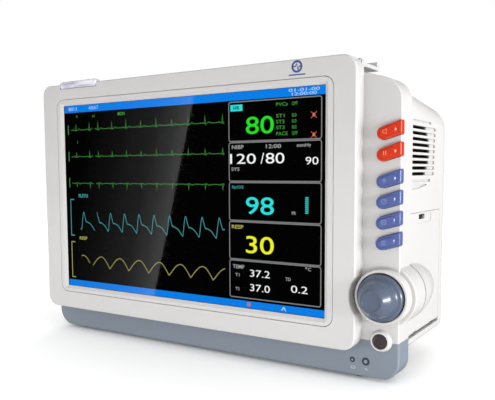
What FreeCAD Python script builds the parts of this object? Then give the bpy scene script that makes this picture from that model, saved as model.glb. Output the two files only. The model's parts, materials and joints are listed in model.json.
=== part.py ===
"""Bedside patient monitor: a bench-top case with a 12.1 inch screen, a column of keys and a rotary knob.

Working axes, in millimetres: the origin is the centre of the lit screen area, +X is to the right of a
person facing the screen, +Y runs into the case and +Z is up. Each piece is moved on export so that the
row's origin is the bottom centre of the whole monitor, on the surface that it stands on.
"""
import FreeCAD, Part
import math
import os
from FreeCAD import Vector

# Screen and front bezel
SCREEN_W, SCREEN_H = 261.1, 163.2
BEZEL_LEFT, BEZEL_RIGHT = -156.0, 154.5
BEZEL_TOP, BEZEL_BOTTOM = 100.8, -102.3
BEZEL_FRONT = -3.0
STRIP_Y = 9.3
RING_WIDTH, RING_ENDS = 7.0, 5.4
RING_GAP = 0.4
PANEL_WIDTH, PANEL_ENDS = 5.0, 3.0

# Case
WALL = 2.5
CASE_LEFT, CASE_RIGHT = -154.5, 181.6
CASE_TOP = 90.0
SPLIT_Z = -95.5
TRIM_BOTTOM = -122.5
FOOT_BOTTOM = -125.0
SEAM_Y = 29.5
BACK_Y = 135.0
REAR_BOTTOM = -104.0
REAR_INSET_SIDE, REAR_INSET_TOP = 0.8, 4.0
BACK_ROUND, LOW_ROUND = 26.0, 12.0
SHOULDER_ROUND = 17.0
LEFT_ROUND = 14.0
TOP_FALL = 0.11

# Knob, keys and power button
KNOB_X, KNOB_Z = 171.0, -63.3
BOSS_R, RING_R = 22.3, 19.4
BOSS_FRONT = 2.0
BOSS_SHELF = STRIP_Y + 0.6
KNOB_R = 16.0
KNOB_FRONT = -15.2
KEY_HEIGHTS = {"silence": 51.7, "pause": 37.3, "freeze": 19.2, "pressure": 5.2, "record": -8.9, "menu": -22.9}
KEY_RIGHT = 182.6
KEY_FRONT = 5.6
KEY_LENGTH = 17.4
STEM_X, STEM_DROP = 172.0, 2.9
CONTROL_BOARD_Y = 24.0
POWER_X, POWER_Z = 169.3, -94.7
POWER_BOSS_R = 7.9
INDICATORS, INDICATOR_Z = ((147.9, 2.0), (158.0, 2.9)), -111.2

# Carrying handle
HANDLE_HALF = 150.0
HANDLE_HINGE_Y, HANDLE_HINGE_Z = 16.5, 96.4
HANDLE_REACH = 28.5

# Recorder door
DOOR_FRONT, DOOR_BACK = 31.0, 103.0
DOOR_TOP, DOOR_BOTTOM = -8.0, -97.0
DOOR_LIP = 1.4
DOOR_HINGE_X, DOOR_HINGE_Z = 177.0, -93.2
HINGE_R, KNUCKLE_R, HINGE_PIN_R = 3.8, 2.4, 1.2
KNUCKLES = ((44.4, 49.6), (84.4, 89.6))
LATCH_WINDOW = (52.0, 65.4)
LATCH_Z = -11.0
PLATEN_X, PLATEN_Z = 163.0, -27.0
PLATEN_R = 6.3
GEAR_MODULE = 0.8
PLATEN_TEETH, PINION_TEETH = 20, 10
ROLL_X, ROLL_Z, ROLL_R = 148.0, -62.0, 19.0
RECORDER = (124.0, 170.0, -97.0, -16.0)

# Fan and rear connectors
FAN_X, FAN_Z, FAN_BORE = 88.0, 4.0, 28.5
SPEAKER_X, SPEAKER_Z = -70.0, 4.0
POCKET = (-112.0, 42.0, -86.0, -44.0)
POCKET_FLOOR = 124.5

# Left side: window for the sensor plate as (y, y, z, z), and each socket's centre and radius
SENSOR_WINDOW = (36.0, 106.0, -84.0, 6.0)
SENSOR_SPOTS = ((54.0, -8.0, 10.5), (89.0, -8.0, 9.0), (54.0, -36.0, 8.0), (54.0, -60.0, 8.0),
                (89.0, -32.0, 4.2), (89.0, -44.0, 4.2), (89.0, -66.0, 7.0))

SENSOR_FACE = CASE_LEFT + REAR_INSET_SIDE + 1.6
SENSOR_BACK = CASE_LEFT + REAR_INSET_SIDE + WALL + 1.6

# General clearance
CLEAR = 0.35

# The row's origin: bottom centre of the whole monitor
ORIGIN = Vector((BEZEL_LEFT + KNOB_X + BOSS_R) / 2, (KNOB_FRONT + BACK_Y) / 2, FOOT_BOTTOM)

NODES = {}


# ---------------------------------------------------------------- building blocks
def at(axis, u, v, w):
    """A point from its two coordinates across an axis and its place w along it."""
    if axis == "x":
        return Vector(w, u, v)
    if axis == "y":
        return Vector(u, w, v)
    return Vector(u, v, w)


def outline(points, axis, w):
    """A closed wire across an axis. Each point is (u, v) or (u, v, corner radius)."""
    count = len(points)
    arcs = []
    for i, point in enumerate(points):
        corner = Vector(point[0], point[1], 0)
        before = Vector(points[i - 1][0], points[i - 1][1], 0) - corner
        after = Vector(points[(i + 1) % count][0], points[(i + 1) % count][1], 0) - corner
        before.normalize()
        after.normalize()
        radius = point[2] if len(point) > 2 else 0.0
        if radius <= 0:
            arcs.append((corner, None, corner))
            continue
        half = before.getAngle(after) / 2
        run = radius / math.tan(half)
        middle = before + after
        middle.normalize()
        bulge = corner + middle * (radius / math.sin(half) - radius)
        arcs.append((corner + before * run, bulge, corner + after * run))
    edges = []
    for i, (start, bulge, end) in enumerate(arcs):
        if bulge is not None:
            three = [at(axis, p.x, p.y, w) for p in (start, bulge, end)]
            edges.append(Part.Arc(*three).toShape())
        following = arcs[(i + 1) % count][0]
        if (following - end).Length > 1e-6:
            two = [at(axis, p.x, p.y, w) for p in (end, following)]
            edges.append(Part.LineSegment(*two).toShape())
    return Part.Wire(edges)


def prism(points, low, high, axis="y"):
    """The outline pushed along an axis from low to high."""
    push = {"x": Vector(1, 0, 0), "y": Vector(0, 1, 0), "z": Vector(0, 0, 1)}[axis]
    return Part.Face(outline(points, axis, low)).extrude(push * (high - low))


def rect(u0, u1, v0, v1, radius=0.0):
    """Corner points of a rectangle, all with one corner radius."""
    return [(u0, v0, radius), (u1, v0, radius), (u1, v1, radius), (u0, v1, radius)]


def box(x0, x1, y0, y1, z0, z1):
    """A plain block between two corners."""
    return Part.makeBox(x1 - x0, y1 - y0, z1 - z0, Vector(x0, y0, z0))


def rod(axis, u, v, radius, low, high):
    """A cylinder along an axis."""
    push = {"x": Vector(1, 0, 0), "y": Vector(0, 1, 0), "z": Vector(0, 0, 1)}[axis]
    return Part.makeCylinder(radius, high - low, at(axis, u, v, low), push)


def turned(x, z, profile):
    """A body of revolution about an axis along Y at (x, z). The profile is (radius, y) points, or
    (radius, y, "arc") for the middle point of an arc."""
    points = [Vector(x + p[0], p[1], z) for p in profile]
    edges = []
    i = 0
    while i < len(points):
        ahead = (i + 1) % len(points)
        if len(profile[ahead]) > 2:
            beyond = (i + 2) % len(points)
            edges.append(Part.Arc(points[i], points[ahead], points[beyond]).toShape())
            i += 2
        else:
            edges.append(Part.LineSegment(points[i], points[ahead]).toShape())
            i += 1
    face = Part.Face(Part.Wire(edges))
    return face.revolve(Vector(x, 0, z), Vector(0, 1, 0), 360)


def soften(shape, radius, pick):
    """Rounds the edges that pick accepts, and leaves the shape as it is if it has none."""
    edges = [e for e in shape.Edges if pick(e)]
    return shape.makeFillet(radius, edges) if edges else shape


def on_plane(axis, place, tolerance=0.01):
    """A test for edges that lie in a plane across an axis."""
    def test(edge):
        bounds = edge.BoundBox
        low, high = {"x": (bounds.XMin, bounds.XMax), "y": (bounds.YMin, bounds.YMax),
                     "z": (bounds.ZMin, bounds.ZMax)}[axis]
        return abs(low - place) < tolerance and abs(high - place) < tolerance
    return test


def keep(name, *shapes):
    """Stores a node made of one or more separate solids."""
    NODES[name] = shapes[0] if len(shapes) == 1 else Part.makeCompound(list(shapes))


# ---------------------------------------------------------------- screen and bezel
def screen_rect(offset, radius=0.0, ends=None):
    """The lit area grown by an offset at the sides and, if one is given, another at the top and bottom."""
    rise = offset if ends is None else ends
    return rect(-SCREEN_W / 2 - offset, SCREEN_W / 2 + offset,
                -SCREEN_H / 2 - rise, SCREEN_H / 2 + rise, radius)


def make_screen():
    """Display panel, clear window and the bevelled frame round them."""
    panel = prism(screen_rect(PANEL_WIDTH, 1.0, PANEL_ENDS), 0.2, 7.0)
    keep("lcd_panel", soften(panel, 0.6, on_plane("y", 7.0)))
    keep("display_window", prism(screen_rect(1.6, 2.0), -0.9, 0.0))
    frame = prism(screen_rect(RING_WIDTH, 7.4, RING_ENDS), -2.8, 8.6)
    frame = frame.cut(prism(screen_rect(1.8, 2.2), -0.9, 0.1))
    frame = frame.cut(prism(screen_rect(PANEL_WIDTH + 0.2, 1.2, PANEL_ENDS + 0.2), 0.1, 9.0))
    near, far = screen_rect(3.6, 3.0), screen_rect(0.2, 0.6)
    slope = Part.makeLoft([outline(near, "y", -3.4), outline(far, "y", -0.85)], True, True)
    frame = frame.cut(slope)
    keep("screen_frame", frame)


def bezel_outline(inset=0.0):
    """The bezel's edge."""
    left, right = BEZEL_LEFT + inset, BEZEL_RIGHT - inset
    top, bottom = BEZEL_TOP - inset, BEZEL_BOTTOM + inset
    return [(left, bottom, 10.0 - inset), (right, bottom, 10.0 - inset), (right, top, 11.0 - inset),
            (left, top, 8.5 - inset)]


def alarm_lens_box(grow=0.0):
    """The block of the alarm lamp's lens, let into the top edge of the bezel."""
    return (-132.8 - grow, -87.4 + grow, BEZEL_FRONT - 0.4 - grow, 1.6 + grow, 96.8 - grow, 103.2 + grow)


def make_bezel():
    """The proud front frame round the screen, hollow behind, scalloped round the knob boss."""
    scallop = RING_R + 1.6
    body = prism(bezel_outline(), BEZEL_FRONT, STRIP_Y)
    body = body.cut(rod("y", KNOB_X, KNOB_Z, scallop, BEZEL_FRONT - 1, STRIP_Y + 1))
    depth = STRIP_Y - BEZEL_FRONT

    def scallop_corner(edge):
        bounds = edge.BoundBox
        straight = edge.Curve.TypeId == "Part::GeomLine" and abs(bounds.YLength - depth) < 0.01
        return straight and bounds.XMin > BEZEL_RIGHT - 1 and abs(bounds.ZMin - KNOB_Z) < scallop

    body = soften(body, 3.0, scallop_corner)
    body = soften(body, 1.3, on_plane("y", BEZEL_FRONT))
    hollow = prism(bezel_outline(WALL), 0.2, STRIP_Y + 1)
    hollow = hollow.cut(rod("y", KNOB_X, KNOB_Z, scallop + WALL, -1, STRIP_Y + 2))
    collar, ends = RING_WIDTH + RING_GAP, RING_ENDS + RING_GAP
    hollow = hollow.cut(prism(screen_rect(collar + 2.2, 9.5, ends + 2.2), -1, STRIP_Y + 2))
    body = body.cut(hollow)
    body = body.cut(prism(screen_rect(collar, 7.6, ends), BEZEL_FRONT - 1, STRIP_Y + 1))
    body = body.cut(box(*alarm_lens_box(0.25)))
    keep("front_bezel", body)


def make_alarm_lamp():
    """Clear lamp lens at the top left, and its board of lamps."""
    x0, x1, y0, y1, z0, z1 = alarm_lens_box()
    lens = prism(rect(x0, x1, z0, z1, 2.4), y0, y1)
    lens = soften(lens, 1.4, on_plane("y", y0))
    lens = lens.cut(box(x0 + 2.6, x1 - 2.6, y0 + 2.4, y1 + 1, z0 + 0.8, z1 - 2.0))
    keep("alarm_lens", lens)
    board_top = BEZEL_TOP - WALL - 0.4
    board = box(x0 + 2.6, x1 - 2.6, 4.6, 6.0, board_top - 6.0, board_top)
    for i in range(6):
        x = x0 + 7.0 + i * 6.3
        board = board.fuse(box(x, x + 3.2, 2.4, 4.6, board_top - 2.6, board_top - 0.2))
    keep("alarm_board", board)


# ---------------------------------------------------------------- front half of the case
def case_outline(inset=0.0):
    """The front half's outline above the trim, with its falling shoulders."""
    left, right = CASE_LEFT + inset, CASE_RIGHT - inset
    top = CASE_TOP - inset
    fall = 0.29
    shoulder = top - fall * (right - 153.0)
    return [(left, SPLIT_Z), (right, SPLIT_Z), (right, shoulder, SHOULDER_ROUND - inset),
            (153.0, top, 30.0), (left, top, LEFT_ROUND - inset)]


def knob_boss(shrink, front, back):
    """The raised ring round the knob, on a round boss that fairs back into the side of the case."""
    ring, radius = RING_R - shrink, BOSS_R - shrink
    return turned(KNOB_X, KNOB_Z, [(0, front), (ring - 1.3, front), (ring - 0.6, front + 0.3, "arc"),
                                   (ring - 0.3, front + 1.0), (ring, BOSS_SHELF), (radius - 1.0, BOSS_SHELF),
                                   (radius - 0.3, BOSS_SHELF + 0.3, "arc"), (radius, BOSS_SHELF + 1.0),
                                   (radius, 27.0), (radius - 3.0, 58.0, "arc"), (radius - 13.0, back),
                                   (0, back)])


def key_points(height, grow=0.0):
    """A key's outline: a slanted bar with a round left end and a square right end."""
    right = KEY_RIGHT + grow
    left = KEY_RIGHT - KEY_LENGTH - grow
    return [(right, height + 4.7 + grow, 1.0), (right, height - 4.7 - grow, 1.0),
            (left, height - 9.9 - grow, 4.2 + grow), (left, height - 0.9 + grow, 4.2 + grow)]


def make_front_housing():
    """The shell behind the bezel: control strip, knob boss and power boss."""
    body = prism(case_outline(), STRIP_Y, SEAM_Y)
    rim = [e for e in body.Edges if on_plane("y", STRIP_Y)(e) and e.BoundBox.ZMin > SPLIT_Z + 0.1
           and e.BoundBox.ZMax > -40]
    body = soften(body, 0.9, lambda e: any(e.isSame(r) for r in rim))
    full_boss = knob_boss(0.0, BOSS_FRONT, 88.0)
    body = body.fuse(full_boss.common(box(100, 230, -10, SEAM_Y, -120, 0)))
    power_boss = turned(POWER_X, POWER_Z, [(0, 5.8), (6.1, 5.8), (6.7, 6.1, "arc"), (7.0, 6.8),
                                           (POWER_BOSS_R, STRIP_Y), (POWER_BOSS_R, STRIP_Y + 6),
                                           (0, STRIP_Y + 6)])
    body = body.fuse(power_boss)
    inner = prism(case_outline(WALL), STRIP_Y + WALL, SEAM_Y + 1)
    boss_room = knob_boss(WALL, BOSS_FRONT + WALL, 88.0)
    inner = inner.fuse(boss_room.common(box(100, 230, STRIP_Y + WALL, 60, -120, 0)))
    body = body.cut(inner)
    body = body.cut(prism(rect(-146, 146, -91, 86.5, 4.0), STRIP_Y - 1, STRIP_Y + WALL + 1))
    body = body.cut(box(CASE_LEFT + WALL, CASE_RIGHT - WALL, STRIP_Y + WALL, SEAM_Y + 1,
                        SPLIT_Z - 1, SPLIT_Z + 5))
    body = body.cut(rod("y", KNOB_X, KNOB_Z, KNOB_R + 1.2, BOSS_FRONT - 1, 7.6))
    body = body.cut(rod("y", KNOB_X, KNOB_Z, 5.0, 0, STRIP_Y + WALL + 1))
    body = body.cut(rod("y", POWER_X, POWER_Z, 5.5, 0, STRIP_Y + 8))
    for height in KEY_HEIGHTS.values():
        body = body.cut(prism(key_points(height, CLEAR), STRIP_Y - 1, 13.2))
    for lug in handle_lugs():
        body = body.fuse(lug)
    keep("front_housing", body)


def make_trim():
    """The darker band under the front, with its rounded lower corners."""
    left, right = CASE_LEFT - 0.2, CASE_RIGHT + 0.4
    shape = [(left, TRIM_BOTTOM, 15.0), (right, TRIM_BOTTOM, 13.0), (right, SPLIT_Z), (left, SPLIT_Z)]
    body = prism(shape, STRIP_Y, 28.6)
    body = soften(body, 1.6, lambda e: on_plane("y", STRIP_Y)(e) and e.BoundBox.ZMax < SPLIT_Z - 0.1)
    inner = [(left + WALL, TRIM_BOTTOM + WALL, 12.5), (right - WALL, TRIM_BOTTOM + WALL, 10.5),
             (right - WALL, SPLIT_Z + 1), (left + WALL, SPLIT_Z + 1)]
    body = body.cut(prism(inner, STRIP_Y + WALL, 29.0))
    body = body.cut(rod("y", POWER_X, POWER_Z, POWER_BOSS_R + 0.1, STRIP_Y - 1, STRIP_Y + 7))
    for x, radius in INDICATORS:
        body = body.cut(rod("y", x, INDICATOR_Z, radius + 0.05, STRIP_Y - 1, STRIP_Y + WALL + 1))
    keep("lower_trim", body)
    face, lenses = STRIP_Y - 0.3, []
    for x, radius in INDICATORS:
        lens = rod("y", x, INDICATOR_Z, radius, face, STRIP_Y + WALL + 1.0)
        lenses.append(soften(lens, 0.3, on_plane("y", face)))
    keep("indicator_lenses", *lenses)


# ---------------------------------------------------------------- controls
def make_keys():
    """Slanted soft-touch keys, each with a stem that reaches its switch on the key board."""
    for name, height in KEY_HEIGHTS.items():
        cap = prism(key_points(height), KEY_FRONT, 11.4)
        cap = soften(cap, 1.1, on_plane("y", KEY_FRONT))
        inside = box(150, CASE_RIGHT - WALL - CLEAR, 11.4, 20, height - 20, height + 20)
        cap = cap.fuse(prism(key_points(height), 11.4, 12.2).common(inside))
        flange = prism(key_points(height, 1.3), 12.2, 13.2).common(inside)
        stem = rod("y", STEM_X, height - STEM_DROP, 2.4, 12.0, 18.4)
        keep("key_" + name, cap.fuse(flange).fuse(stem).removeSplitter())


def make_control_board():
    """The board behind the strip, with the key switches and the power switch; the encoder stands on it."""
    board = box(159.0, 178.4, CONTROL_BOARD_Y, CONTROL_BOARD_Y + 1.6, -92.0, 60.0)
    board = board.fuse(box(159.0, 176.0, CONTROL_BOARD_Y, CONTROL_BOARD_Y + 1.6, -103.0, -92.0))
    board = board.cut(rod("y", KNOB_X, KNOB_Z, 2.8, 20, 30))
    for height in KEY_HEIGHTS.values():
        z = height - STEM_DROP
        board = board.fuse(box(STEM_X - 3, STEM_X + 3, CONTROL_BOARD_Y - 1.8, CONTROL_BOARD_Y, z - 3, z + 3))
        board = board.fuse(rod("y", STEM_X, z, 1.7, 20.3, CONTROL_BOARD_Y - 1.8))
    switch_front = CONTROL_BOARD_Y - 3.4
    board = board.fuse(box(POWER_X - 4, POWER_X + 4, switch_front, CONTROL_BOARD_Y, POWER_Z - 4, POWER_Z + 4))
    board = board.fuse(rod("y", POWER_X, POWER_Z, 1.7, 19.4, switch_front))
    keep("control_board", board)


def make_power_button():
    """Round power button with a stem."""
    cap = turned(POWER_X, POWER_Z, [(0, 5.2), (3.0, 5.35, "arc"), (4.9, 6.2), (5.15, 6.6, "arc"), (5.2, 7.0),
                                    (5.2, 11.0), (2.2, 11.0), (2.2, 17.5), (0, 17.5)])
    keep("power_button", cap)


def make_knob():
    """Stepped rotary knob, its shaft, the encoder body and the push plunger behind the shaft."""
    cap = turned(KNOB_X, KNOB_Z, [(3.0, 5.6), (3.0, -8.0), (0, -8.0), (0, KNOB_FRONT + 0.6),
                                  (6.2, KNOB_FRONT + 0.4), (6.6, KNOB_FRONT),
                                  (7.6, KNOB_FRONT + 0.3, "arc"), (8.6, KNOB_FRONT + 1.3),
                                  (11.2, -10.4), (12.2, -8.0, "arc"), (12.4, -3.6), (13.2, -2.0, "arc"),
                                  (14.6, -1.2), (15.6, -0.4, "arc"), (KNOB_R, 1.2), (KNOB_R, 5.6)])
    keep("knob", cap)
    shaft = rod("y", KNOB_X, KNOB_Z, 3.0, -7.9, 19.8)
    keep("knob_shaft", shaft)
    body = prism(rect(KNOB_X - 7, KNOB_X + 7, KNOB_Z - 7, KNOB_Z + 7, 0.8), 13.6, 24.0)
    body = body.fuse(rod("y", KNOB_X, KNOB_Z, 4.8, 8.4, 13.6))
    body = body.cut(rod("y", KNOB_X, KNOB_Z, 3.05, 8, 20.9))
    body = body.cut(rod("y", KNOB_X, KNOB_Z, 2.25, 20, 25))
    keep("encoder_body", body)
    plunger = rod("y", KNOB_X, KNOB_Z, 2.2, 20.0, 24.6)
    keep("encoder_plunger", plunger)


# ---------------------------------------------------------------- rear half of the case
def closing(y, radius):
    """How far a quarter round of a radius at the back has drawn in at a depth."""
    along = max(0.0, y - (BACK_Y - radius)) / radius
    return radius * (1 - math.sqrt(max(0.0, 1 - along ** 2)))


def rear_section(y, inset=0.0):
    """Outline of the rear half at a depth. It falls towards the back and closes in a quarter round."""
    side, low = closing(y, BACK_ROUND), closing(y, LOW_ROUND)
    left = CASE_LEFT + REAR_INSET_SIDE + side + inset
    right = CASE_RIGHT - REAR_INSET_SIDE - side - inset
    top = CASE_TOP - REAR_INSET_TOP - TOP_FALL * (y - SEAM_Y) - 1.15 * side - inset
    bottom = REAR_BOTTOM + low + inset
    shoulder = top - 0.29 * 28.0
    upper_round = SHOULDER_ROUND + 1.5 - 0.35 * side - inset
    lower_round = 4.0 - 0.05 * low - inset
    return outline([(left, bottom, lower_round), (right, bottom, lower_round), (right, shoulder, upper_round),
                    (right - 27.8, top, 20.0), (left, top, upper_round)], "y", y)


def rear_form(start, inset=0.0):
    """The solid form of the rear half, from a depth to its closed back."""
    steps = [BACK_Y - BACK_ROUND + BACK_ROUND * math.sin(math.radians(a)) for a in range(0, 91, 10)]
    steps = [start] + [min(y, BACK_Y - inset) for y in steps if y < BACK_Y - inset] + [BACK_Y - inset]
    return Part.makeLoft([rear_section(y, inset) for y in steps], True, True)


def slot_row():
    """Centre height and far end of each side vent slot."""
    middle, pitch = 36.6, 4.12
    return [(middle + (i - 4) * pitch, 85.0 + 0.4 * i) for i in range(9)]


def side_vents(x0, x1):
    """Cutters for the vent slots in a side wall between two X places."""
    half = 1.2
    return [prism(rect(34.0, end, z - half, z + half, 1.1), x0, x1, "x") for z, end in slot_row()]


def side_grooves():
    """Shallow closed grooves that carry on the vent pattern above and below the slots."""
    floor, outside = CASE_RIGHT - REAR_INSET_SIDE - 1.4, CASE_RIGHT + 1
    grooves = [prism(rect(34.0, 76.0, z - half, z + half, 0.7), floor, outside, "x")
               for z, half in ((57.4, 0.85), (15.2, 1.1))]
    tapered = [(34.0, 12.9, 0.6), (34.0, 9.0, 0.6), (50.0, 9.6, 8.0), (72.0, 12.4, 0.3)]
    return grooves + [prism(tapered, floor, outside, "x")]


def speaker_holes():
    """Cutters for the round hole pattern in front of the speaker."""
    holes = [(0.0, 0.0)]
    for ring in range(1, 4):
        for i in range(6 * ring):
            angle = math.tau * i / (6 * ring)
            holes.append((6.2 * ring * math.cos(angle), 6.2 * ring * math.sin(angle)))
    return [rod("y", SPEAKER_X + dx, SPEAKER_Z + dz, 1.5, BACK_Y - WALL - 1, BACK_Y + 1) for dx, dz in holes]


def door_outline(grow):
    """Outline of the opening for the recorder door."""
    low = DOOR_BOTTOM - 0.6
    return [(DOOR_FRONT - grow, low), (DOOR_BACK + grow, low), (DOOR_BACK + grow, DOOR_TOP + grow, 2.2),
            (DOOR_FRONT - grow, DOOR_TOP + grow, 2.2)]


def rear_screw_places():
    """Centres of the screws that hold the rear half to the front half."""
    return [(-118.0, 34.0), (146.0, 34.0), (-118.0, -84.0), (112.0, -84.0), (14.0, 36.0)]


def fan_guard():
    """Moulded finger guard over the fan opening: rings joined by four bars."""
    y0, y1 = BACK_Y - WALL, BACK_Y - 0.6
    guard = rod("y", FAN_X, FAN_Z, 4.5, y0, y1)
    for radius in (10.5, 17.0, 23.5):
        band = rod("y", FAN_X, FAN_Z, radius + 0.9, y0, y1)
        guard = guard.fuse(band.cut(rod("y", FAN_X, FAN_Z, radius - 0.9, y0 - 1, y1 + 1)))
    for i in range(4):
        bar = box(0.0, 29.4, y0, y1, -1.0, 1.0)
        bar.translate(Vector(FAN_X, 0, FAN_Z))
        bar.rotate(Vector(FAN_X, 0, FAN_Z), Vector(0, 1, 0), 45 + 90 * i)
        guard = guard.fuse(bar)
    return guard


def make_rear_housing():
    """The rear shell, with side vents, door opening, sensor window, fan opening and connector pocket."""
    body = rear_form(SEAM_Y).cut(rear_form(SEAM_Y - 0.01, WALL))
    px0, px1, pz0, pz1 = POCKET
    body = body.fuse(box(px0 - WALL, px1 + WALL, POCKET_FLOOR - WALL, BACK_Y - 1, pz0 - WALL, pz1 + WALL))
    body = body.cut(prism(rect(px0, px1, pz0, pz1, 3.0), POCKET_FLOOR, BACK_Y + 1))
    body = body.cut(box(px0 + 4, px1 - 4, POCKET_FLOOR - WALL - 1, POCKET_FLOOR + 1, pz0 + 4, pz1 - 4))
    for cutter in side_vents(170, 190) + side_vents(-160, -145) + side_grooves() + speaker_holes():
        body = body.cut(cutter)
    lip_face = CASE_RIGHT - REAR_INSET_SIDE - 1.35
    body = body.cut(prism(door_outline(CLEAR), lip_face, 200, "x"))
    body = body.cut(prism(door_outline(-DOOR_LIP), 165, 200, "x"))
    body = body.cut(box(165, 200, DOOR_FRONT - CLEAR, DOOR_BACK + CLEAR, DOOR_BOTTOM - 0.6, DOOR_HINGE_Z + 0.6))
    body = body.cut(prism(rect(*SENSOR_WINDOW, 5.0), -160, -145, "x"))
    body = body.cut(rod("y", FAN_X, FAN_Z, 28.6, BACK_Y - WALL - 1, BACK_Y + 1)).fuse(fan_guard())
    for x, z in rear_screw_places():
        body = body.fuse(rod("y", x, z, 5.0, SEAM_Y + 6, BACK_Y - 1.0))
        body = body.cut(rod("y", x, z, 1.8, SEAM_Y, BACK_Y + 1))
        body = body.cut(rod("y", x, z, 3.6, BACK_Y - 4.0, BACK_Y + 1))
    for x in (-60.0, 50.0):
        for y in (50.0, 100.0):
            body = body.cut(rod("z", x, y, 1.8, REAR_BOTTOM - 1, REAR_BOTTOM + WALL + 1))
    keep("rear_housing", body)
    screws = []
    for x, z in rear_screw_places():
        screw = rod("y", x, z, 3.2, BACK_Y - 4.0, BACK_Y - 1.6)
        screw = screw.fuse(rod("y", x, z, 1.6, SEAM_Y + 1, BACK_Y - 4.0))
        screw = screw.cut(box(x - 2.0, x + 2.0, BACK_Y - 2.8, BACK_Y, z - 0.4, z + 0.4))
        screw = screw.cut(box(x - 0.4, x + 0.4, BACK_Y - 2.8, BACK_Y, z - 2.0, z + 2.0))
        screws.append(screw)
    keep("rear_screws", *screws)


def make_base():
    """Base tray under the rear half, battery, battery cover, mounting plate and rubber feet."""
    tray_shape = rect(-134.0, 140.0, 29.5, 120.0, 10.0)
    tray = prism(tray_shape, TRIM_BOTTOM, REAR_BOTTOM, "z")
    tray = soften(tray, 1.5, on_plane("z", TRIM_BOTTOM))
    tray = tray.cut(prism(rect(-131.5, 137.5, 32.0, 117.5, 7.5), TRIM_BOTTOM + WALL, REAR_BOTTOM + 1, "z"))
    tray = tray.cut(box(-72.2, 62.2, 41.8, 108.2, TRIM_BOTTOM - 1, TRIM_BOTTOM + 1.6))
    tray = tray.cut(box(-68, 58, 46, 104, TRIM_BOTTOM - 1, TRIM_BOTTOM + WALL + 1))
    for x in (75.0, 125.0):
        for y in (50.0, 100.0):
            tray = tray.cut(rod("z", x, y, 2.3, TRIM_BOTTOM - 1, TRIM_BOTTOM + WALL + 1))
    keep("base_tray", tray)
    cover = prism(rect(-72.0, 62.0, 42.0, 108.0, 2.0), TRIM_BOTTOM, TRIM_BOTTOM + 1.6, "z")
    for x in (-66.0, 56.0):
        cover = cover.cut(rod("z", x, 44.4, 1.4, TRIM_BOTTOM - 1, TRIM_BOTTOM + 3))
    for i in range(5):
        x = -17.0 + i * 6.0
        ridge = rect(x - 1.2, x + 1.2, 92.0, 102.0, 1.1)
        cover = cover.cut(prism(ridge, TRIM_BOTTOM - 1, TRIM_BOTTOM + 0.7, "z"))
    keep("battery_cover", cover)
    pack = prism(rect(-66.0, 56.0, 48.0, 102.0, 3.0), TRIM_BOTTOM + 1.9, REAR_BOTTOM - 0.6, "z")
    keep("battery_pack", pack)
    plate = prism(rect(66.0, 134.0, 41.0, 109.0, 3.0), TRIM_BOTTOM + WALL, TRIM_BOTTOM + WALL + 3.0, "z")
    for x in (75.0, 125.0):
        for y in (50.0, 100.0):
            plate = plate.cut(rod("z", x, y, 2.0, TRIM_BOTTOM, TRIM_BOTTOM + 8))
    keep("mounting_plate", plate)
    feet = []
    for x, y in ((-128.0, 21.5), (150.0, 21.5), (-118.0, 108.0), (118.0, 114.0)):
        foot = rod("z", x, y, 5.6, FOOT_BOTTOM, TRIM_BOTTOM)
        feet.append(soften(foot, 0.7, on_plane("z", FOOT_BOTTOM)))
    keep("feet", *feet)


# ---------------------------------------------------------------- carrying handle
def handle_lugs():
    """The two lugs on top of the front half that carry the handle's pins."""
    y, z, half = HANDLE_HINGE_Y, HANDLE_HINGE_Z, HANDLE_HALF
    lugs = []
    for side in (-1, 1):
        x0, x1 = sorted((side * (half - 11.2), side * (half - 4.6)))
        lug = prism([(y - 6.0, CASE_TOP - 2.2), (y + 6.0, CASE_TOP - 2.2), (y + 4.0, z + 4.0, 3.9),
                     (y - 4.0, z + 4.0, 3.9)], x0, x1, "x")
        lugs.append(lug.cut(rod("x", y, z, 2.2, x0 - 1, x1 + 1)))
    return lugs


def make_handle():
    """Fold-down carrying handle, hinged on two lugs behind the top of the bezel."""
    y, z, half = HANDLE_HINGE_Y, HANDLE_HINGE_Z, HANDLE_HALF
    back = y + HANDLE_REACH
    arms = []
    for side in (-1, 1):
        x0, x1 = sorted((side * (half - 4.2), side * half))
        arm = prism([(y, z - 1.3), (back, z - 1.3), (back, z + 1.3), (y, z + 1.3)], x0, x1, "x")
        arm = arm.fuse(rod("x", y, z, 3.9, x0, x1))
        arms.append(arm)
    grip = prism(rect(back - 1.0, back + 4.2, z - 1.6, z + 5.0, 2.0), -half, half, "x")
    handle = arms[0].fuse(grip).fuse(arms[1])
    for side in (-1, 1):
        x0, x1 = sorted((side * (half - 9), side * (half + 1)))
        handle = handle.cut(rod("x", y, z, 2.25, x0, x1))
    keep("carry_handle", handle.removeSplitter())
    pins = []
    for side in (-1, 1):
        x0, x1 = sorted((side * (half - 11.2), side * (half + 0.2)))
        pin = rod("x", y, z, 2.2, x0, x1)
        h0, h1 = sorted((side * (half + 0.2), side * (half + 1.0)))
        pins.append(pin.fuse(rod("x", y, z, 2.8, h0, h1)))
    keep("handle_pins", *pins)


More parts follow.
